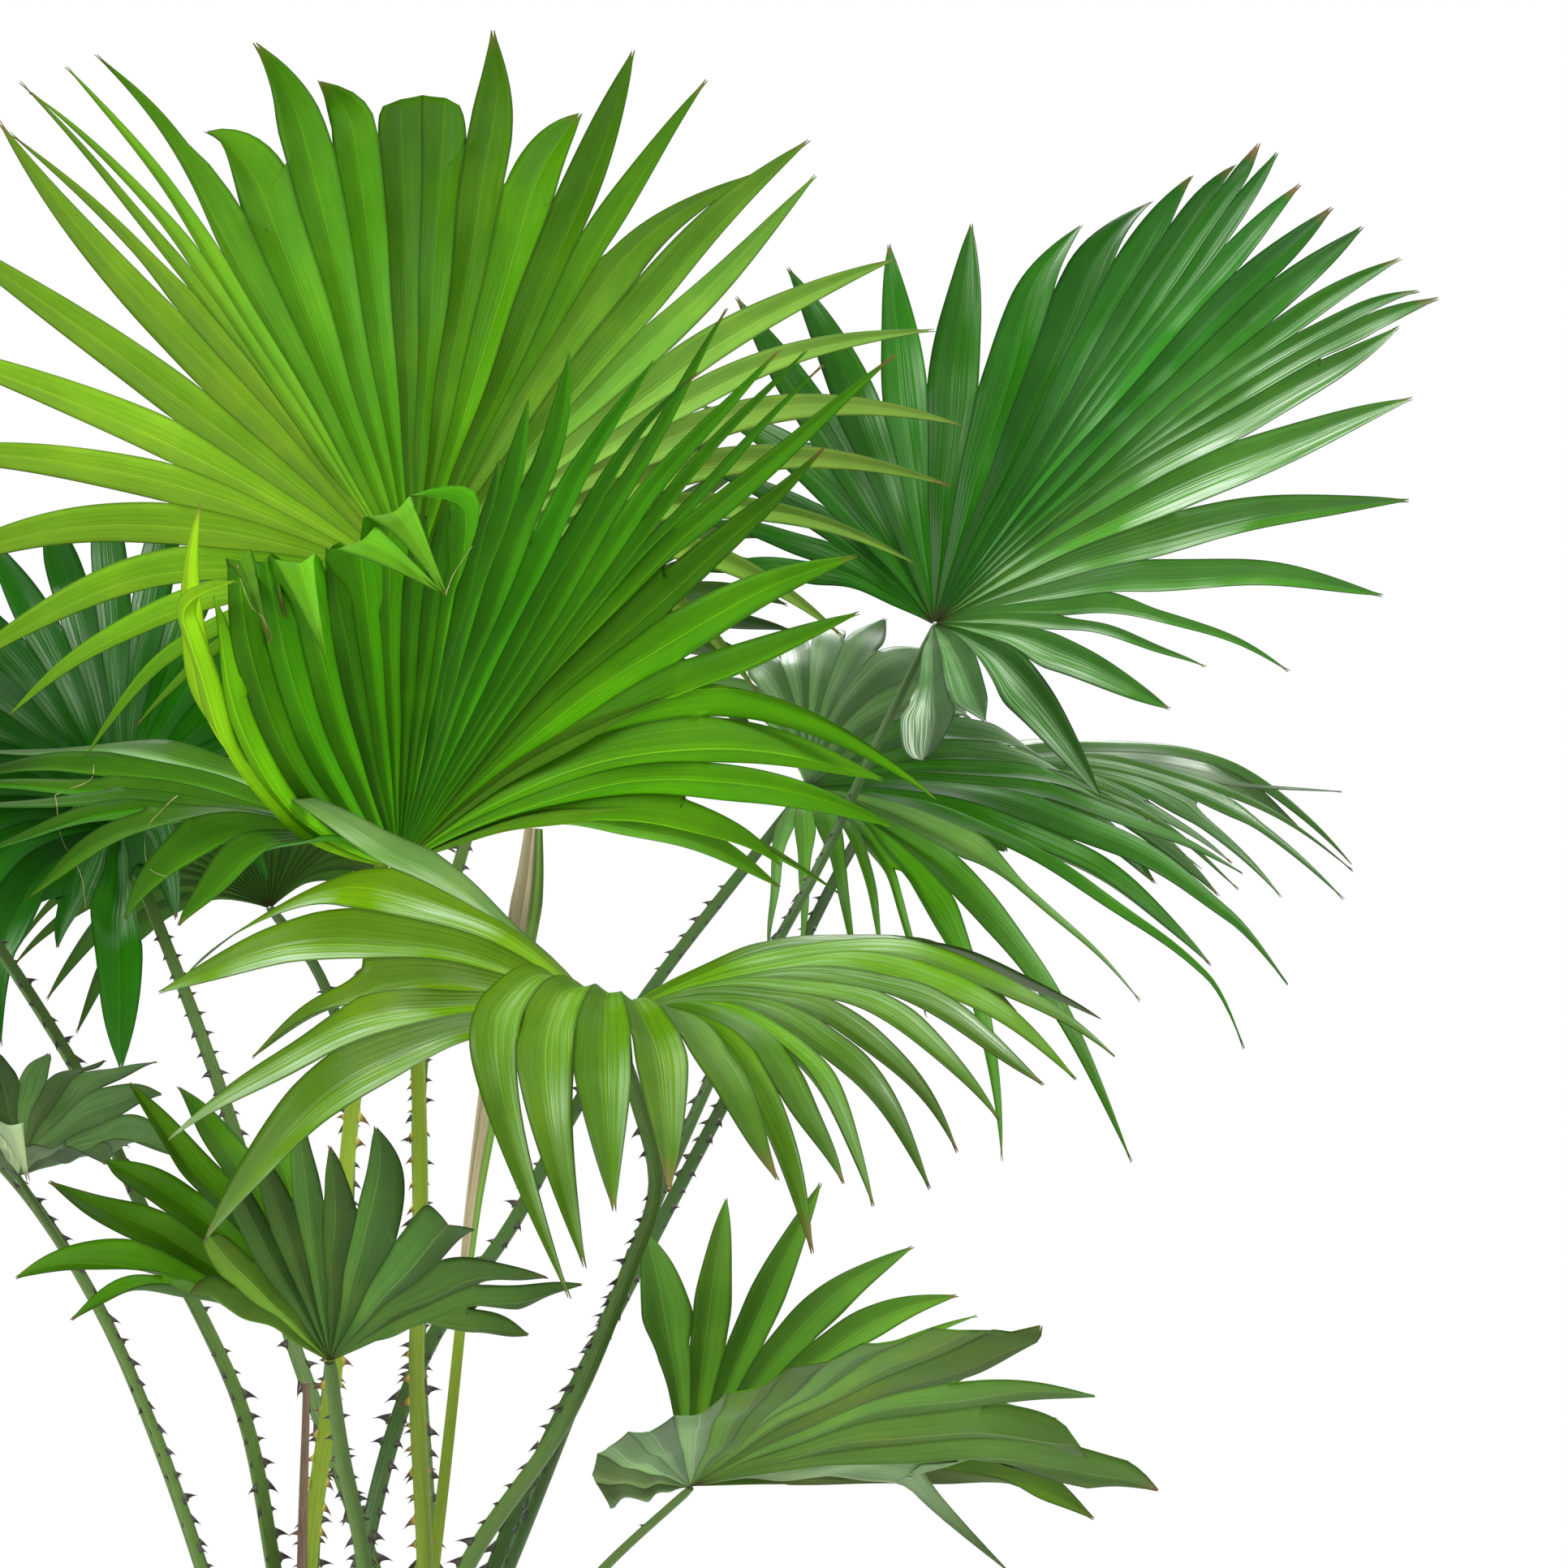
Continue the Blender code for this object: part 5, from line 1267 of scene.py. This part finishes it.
# Low left frond: small and grey-green on a short stalk, half out of the photograph. One pale leaflet
# is folded over.
LEFT_LOW_HUB = (-0.295, 0.02, 0.99)
LEFT_LOW_STALK = [(-0.13, -0.025, 0.66), (-0.165, -0.015, 0.76), (-0.22, 0.0, 0.875)]
LEFT_LOW_TIPS = [
    (-150, 1460, -0.10, 0.02), (-70, 1400, -0.14, 0.01),
    (10, 1385, -0.15, 0.0, {"hang": (35, 1455, -0.17), "pale": 1.0, "tint": (1.5, 1.4, 1.5)}),
    (60, 1400, -0.13, 0.0, {"blunt": 1}), (130, 1422, -0.11, 0.0), (218, 1425, -0.05, 0.0),
    (202, 1352, 0.02, 0.02), (192, 1304, 0.06, 0.02), (130, 1312, 0.09, 0.02), (60, 1292, 0.10, 0.01),
    (-10, 1300, 0.11, 0.01), (-100, 1290, 0.10, 0.01), (-180, 1330, 0.07, 0.02), (-230, 1360, 0.04, 0.02)]
fan("left_low", LEFT_LOW_HUB, LEFT_LOW_STALK, foot=(-0.046, -0.026), radii=(0.0075, 0.005),
    bark=green_bark, seeds=(20, 30), runs=[seen(LEFT_LOW_HUB, LEFT_LOW_TIPS)], split=0.66,
    skins=plain_skins, upper=(0.08, 0.165, 0.05), under=(0.115, 0.20, 0.085), loose=0.15)

# High left frond: out of the photograph, and finished like the ones that it shows. Its leaflets are
# spread between a few key ribs.
LEFT_HIGH_HUB = (-0.50, 0.20, 1.415)
LEFT_HIGH_STALK = [
    (-0.08, 0.07, 0.645), (-0.115, 0.11, 0.785), (-0.15, 0.13, 0.855), (-0.20, 0.15, 0.94),
    (-0.26, 0.17, 1.06), (-0.32, 0.18, 1.155), (-0.42, 0.20, 1.29)]
LEFT_HIGH_KEYS = [
    (0.06, -0.22, -0.21, 0.04), (0.10, -0.36, -0.08, 0.03), (0.08, -0.38, 0.06, 0.02),
    (-0.02, -0.24, 0.19, 0.02), (-0.16, -0.06, 0.27, 0.02), (-0.27, 0.14, 0.22, 0.02),
    (-0.25, 0.32, 0.14, 0.02), (-0.14, 0.40, 0.05, 0.03), (-0.08, 0.36, -0.04, 0.04),
    (-0.05, 0.26, -0.13, 0.05)]
fan("left_high", LEFT_HIGH_HUB, LEFT_HIGH_STALK, foot=(-0.046, 0.030), radii=(0.008, 0.0055),
    bark=green_bark, seeds=(31, 32), runs=[spread(LEFT_HIGH_KEYS, [3, 3, 3, 4, 3, 3, 3, 2, 3])],
    split=0.55, skins=plain_skins, upper=(0.03, 0.12, 0.004), under=(0.04, 0.12, 0.01))

# Left side frond: a flat glossy blade on a leaning stalk. It fills the crown where the photograph
# ends, with leaflets spread between a few key ribs.
LEFT_SIDE_HUB = (-0.50, 0.20, 1.14)
LEFT_SIDE_STALK = [
    (-0.14, 0.05, 0.645), (-0.18, 0.08, 0.745), (-0.235, 0.11, 0.86), (-0.30, 0.14, 0.955),
    (-0.41, 0.18, 1.06)]
LEFT_SIDE_KEYS = [
    (0.05, -0.12, -0.14, 0.05), (0.0, -0.24, -0.19, 0.08), (-0.11, -0.30, -0.14, 0.09),
    (-0.22, -0.24, -0.06, 0.09), (-0.31, -0.10, 0.0, 0.08), (-0.34, 0.06, 0.03, 0.08),
    (-0.27, 0.24, 0.05, 0.07), (-0.14, 0.32, 0.04, 0.06), (-0.03, 0.26, 0.0, 0.06)]
fan("left_side", LEFT_SIDE_HUB, LEFT_SIDE_STALK, foot=(-0.058, 0.002), radii=(0.008, 0.0055),
    bark=green_bark, seeds=(33, 34), runs=[spread(LEFT_SIDE_KEYS, [3, 3, 3, 3, 3, 3, 3, 3])], split=0.50,
    skins=glossy_skins, upper=(0.035, 0.12, 0.004), under=(0.04, 0.12, 0.01))

# High back frond: a glossy blade behind the big one, so that the crown is whole from behind. Its
# leaflets are spread between a few key ribs.
BACK_HIGH_HUB = (0.105, 0.60, 1.42)
BACK_HIGH_STALK = [
    (0.05, 0.14, 0.63), (0.035, 0.24, 0.805), (0.03, 0.32, 0.925), (0.025, 0.38, 1.035),
    (0.035, 0.46, 1.165), (0.07, 0.54, 1.31)]
BACK_HIGH_KEYS = [
    (-0.18, 0.14, -0.10, 0.05), (-0.27, 0.12, 0.0, 0.04), (-0.26, 0.10, 0.17, 0.02),
    (-0.17, 0.09, 0.30, 0.005), (-0.03, 0.09, 0.37, 0.0), (0.11, 0.10, 0.35, 0.005),
    (0.23, 0.12, 0.24, 0.02), (0.28, 0.16, 0.10, 0.04), (0.24, 0.22, -0.03, 0.05),
    (0.15, 0.24, -0.12, 0.06)]
fan("back_high", BACK_HIGH_HUB, BACK_HIGH_STALK, foot=(0.010, 0.032), radii=(0.008, 0.0055),
    bark=green_bark, seeds=(35, 36), runs=[spread(BACK_HIGH_KEYS, [3, 3, 3, 3, 3, 3, 3, 3, 2])],
    split=0.60, skins=glossy_skins, upper=(0.025, 0.10, 0.004), under=(0.035, 0.10, 0.01))

# Back left frond: a plain green blade, younger and lower, behind the left ones. Its leaflets are
# spread between a few key ribs.
BACK_LEFT_HUB = (-0.145, 0.66, 1.205)
BACK_LEFT_STALK = [
    (-0.055, 0.16, 0.625), (-0.05, 0.28, 0.78), (-0.045, 0.42, 0.955), (-0.055, 0.50, 1.065),
    (-0.09, 0.58, 1.145)]
BACK_LEFT_KEYS = [
    (0.12, 0.16, -0.04, 0.05), (0.17, 0.22, 0.07, 0.04), (0.10, 0.24, 0.20, 0.02),
    (-0.04, 0.24, 0.27, 0.01), (-0.17, 0.26, 0.23, 0.02), (-0.27, 0.28, 0.13, 0.04),
    (-0.30, 0.29, 0.02, 0.05), (-0.29, 0.27, -0.06, 0.06), (-0.23, 0.24, -0.13, 0.06)]
fan("back_left", BACK_LEFT_HUB, BACK_LEFT_STALK, foot=(-0.018, 0.042), radii=(0.0075, 0.005),
    bark=green_bark, seeds=(37, 38), runs=[spread(BACK_LEFT_KEYS, [3, 3, 3, 3, 3, 3, 2, 2])], split=0.55,
    skins=plain_skins, upper=(0.03, 0.12, 0.004), under=(0.04, 0.12, 0.01))

bpy.data.objects.remove(thorn_guide, do_unlink=True)

# Folded frond: this year's leaf, still shut like a fan on a thin stalk, beige on its left side
# where the outer leaflet has dried and green on its right.
TO_CAMERA = (0.0, -1.0, 0.0)
THIN_SAMPLES, THIN_FLARE = 40, 0.4
SPEAR_FOOT, SPEAR_RADII = (0.026, -0.010), (0.006, 0.0045)
SPEAR_STALK = [(0.065, 0.03, 0.66), (0.085, 0.05, 0.85), (0.09, 0.055, 0.905)]
SPEAR_BLADE = [(0.09, 0.055, 0.905), (0.095, 0.056, 0.95), (0.105, 0.060, 1.02), (0.118, 0.065, 1.10),
               (0.135, 0.070, 1.185), (0.145, 0.075, 1.25), (0.148, 0.077, 1.29)]
SPEAR_WIDTHS = [0.005, 0.0065, 0.0085, 0.0105, 0.012, 0.0125, 0.007]
SPEAR_SAMPLES, SPEAR_PLEATS, SPEAR_PLEAT, SPEAR_FLATNESS = 60, 9, 0.16, 0.62
SPEAR_GREEN, SPEAR_DARK_GREEN, SPEAR_VEINS = (0.14, 0.27, 0.03), (0.08, 0.19, 0.02), 170.0
SPEAR_BEIGE, SPEAR_STRIPE = (0.34, 0.29, 0.16), (0.13, 0.085, 0.045)
spear_line = rooted(SPEAR_FOOT, SPEAR_STALK, THIN_SAMPLES)
spear_mesh = swept("rod_spear", spear_line, np.linspace(*SPEAR_RADII, len(spear_line)), STALK_SECTION,
                   TO_CAMERA, THIN_FLARE)[0]
put("rod_spear", spear_mesh, [lime_stalk], ["stalk_spear"])
spear_section = []
for k in range(4 * SPEAR_PLEATS):
    spear_turn = math.tau * k / (4 * SPEAR_PLEATS)
    spear_ridge = 1.0 + SPEAR_PLEAT * math.cos(spear_turn * SPEAR_PLEATS)
    spear_section.append((spear_ridge * math.cos(spear_turn),
                          SPEAR_FLATNESS * spear_ridge * math.sin(spear_turn)))
spear_widths = np.interp(np.linspace(0, 1, SPEAR_SAMPLES), np.linspace(0, 1, len(SPEAR_WIDTHS)), SPEAR_WIDTHS)
spear_mesh = swept("leaf_spear", along(SPEAR_BLADE, SPEAR_SAMPLES), spear_widths, spear_section, TO_CAMERA)[0]
spear_finish = Finish("folded_leaf")
spear_round, spear_out = spear_finish.chart("skin")
spear_lines = (spear_round * SPEAR_VEINS).wave()
spear_streak = spear_finish.noise(spear_finish.joined(spear_round * 30.0, spear_out * 8.0), 2.0, 4, 0.6)
spear_dry = spear_round.between(0.16, 0.22) * spear_round.between(0.62, 0.56)
spear_skin = spear_finish.mix(spear_streak.between(0.5, 0.72), SPEAR_BEIGE, SPEAR_STRIPE)
spear_leaf = spear_finish.mix(spear_lines * 0.3, SPEAR_GREEN, SPEAR_DARK_GREEN)
spear_material = spear_finish.close(spear_finish.node("ShaderNodeBsdfPrincipled", {}, {
    "Base Color": spear_finish.mix(spear_dry, spear_leaf, spear_skin),
    "Roughness": 0.5 + spear_streak * 0.2}))
put("leaf_spear", spear_mesh, [spear_material], ["frond_spear"])

# Dead stub: what is left of an old stalk, dry, brown and split. It still clasps the stem's top,
# among the green stalks.
STUB_FOOT, STUB_RADII, STUB_FACE = (-0.022, -0.018), (0.007, 0.003), (0.3, -1.0, 0.0)
STUB_POINTS = [(-0.045, -0.02, 0.60), (-0.042, -0.02, 0.815)]
STUB_BROWN, STUB_PALE, STUB_BASE = (0.10, 0.055, 0.032), (0.26, 0.19, 0.13), (0.05, 0.03, 0.02)
stub_line = rooted(STUB_FOOT, STUB_POINTS, THIN_SAMPLES)
stub_mesh = swept("rod_stub", stub_line, np.linspace(*STUB_RADII, len(stub_line)), STALK_SECTION,
                  STUB_FACE, THIN_FLARE)[0]
stub_finish = stalk_finish("stub_brown", STUB_BROWN, STUB_PALE, STUB_BASE, 0.5)
put("rod_stub", stub_mesh, [stub_finish], ["stub_dry"])

# Loose threads: dry fibres that have peeled off the leaflets' edges and curl, straw-coloured and under
# a millimetre thick. Each one hangs from a leaflet and follows places that the photograph shows.
THREAD_RADIUS, THREAD_SIDES, THREAD_SAMPLES, THREAD_THINNEST = 0.0004, 5, 40, 0.4
THREAD_SECTION = [(math.cos(math.tau * k / THREAD_SIDES), math.sin(math.tau * k / THREAD_SIDES))
                  for k in range(THREAD_SIDES)]
THREAD_STRAW, THREAD_BROWN = (0.42, 0.36, 0.16), (0.20, 0.13, 0.05)
THREADS = [  # pixel across, pixel down, depth behind the stem
    [(292, 696, -0.302), (299, 721, -0.305), (308, 744, -0.31), (327, 766, -0.336), (335, 785, -0.33),
     (330, 794, -0.32)],
    [(549, 733, -0.45), (558, 709, -0.455), (568, 693, -0.46), (582, 673, -0.455)],
    [(116, 943, 0.044), (109, 963, 0.004), (76, 976, -0.02), (70, 993, -0.073), (76, 1033, -0.085),
     (100, 1079, -0.09), (106, 1119, -0.09)],
    [(219, 980, -0.062), (199, 999, -0.14), (182, 1019, -0.165), (179, 1053, -0.19), (192, 1076, -0.222),
     (206, 1080, -0.232)]]
thread_mesh = bpy.data.meshes.new("leaf_threads")
thread_all = bmesh.new()
for thread_places in THREADS:
    thread_line = along([place_of(*spot) for spot in thread_places], THREAD_SAMPLES)
    thread_radii = np.linspace(THREAD_RADIUS, THREAD_THINNEST * THREAD_RADIUS, len(thread_line))
    thread_part = swept("thread", thread_line, thread_radii, THREAD_SECTION, TO_CAMERA)[0]
    thread_all.from_mesh(thread_part)
    bpy.data.meshes.remove(thread_part)
finished(thread_all, thread_mesh)
thread_finish = Finish("dry_thread")
thread_cloud = thread_finish.noise(thread_finish.place, 60, 2)
thread_material = thread_finish.close(thread_finish.node("ShaderNodeBsdfPrincipled", {}, {
    "Base Color": thread_finish.mix(thread_cloud.between(0.4, 0.65), THREAD_STRAW, THREAD_BROWN),
    "Roughness": 0.6 + thread_cloud * 0.2}))
put("leaf_threads", thread_mesh, [thread_material])
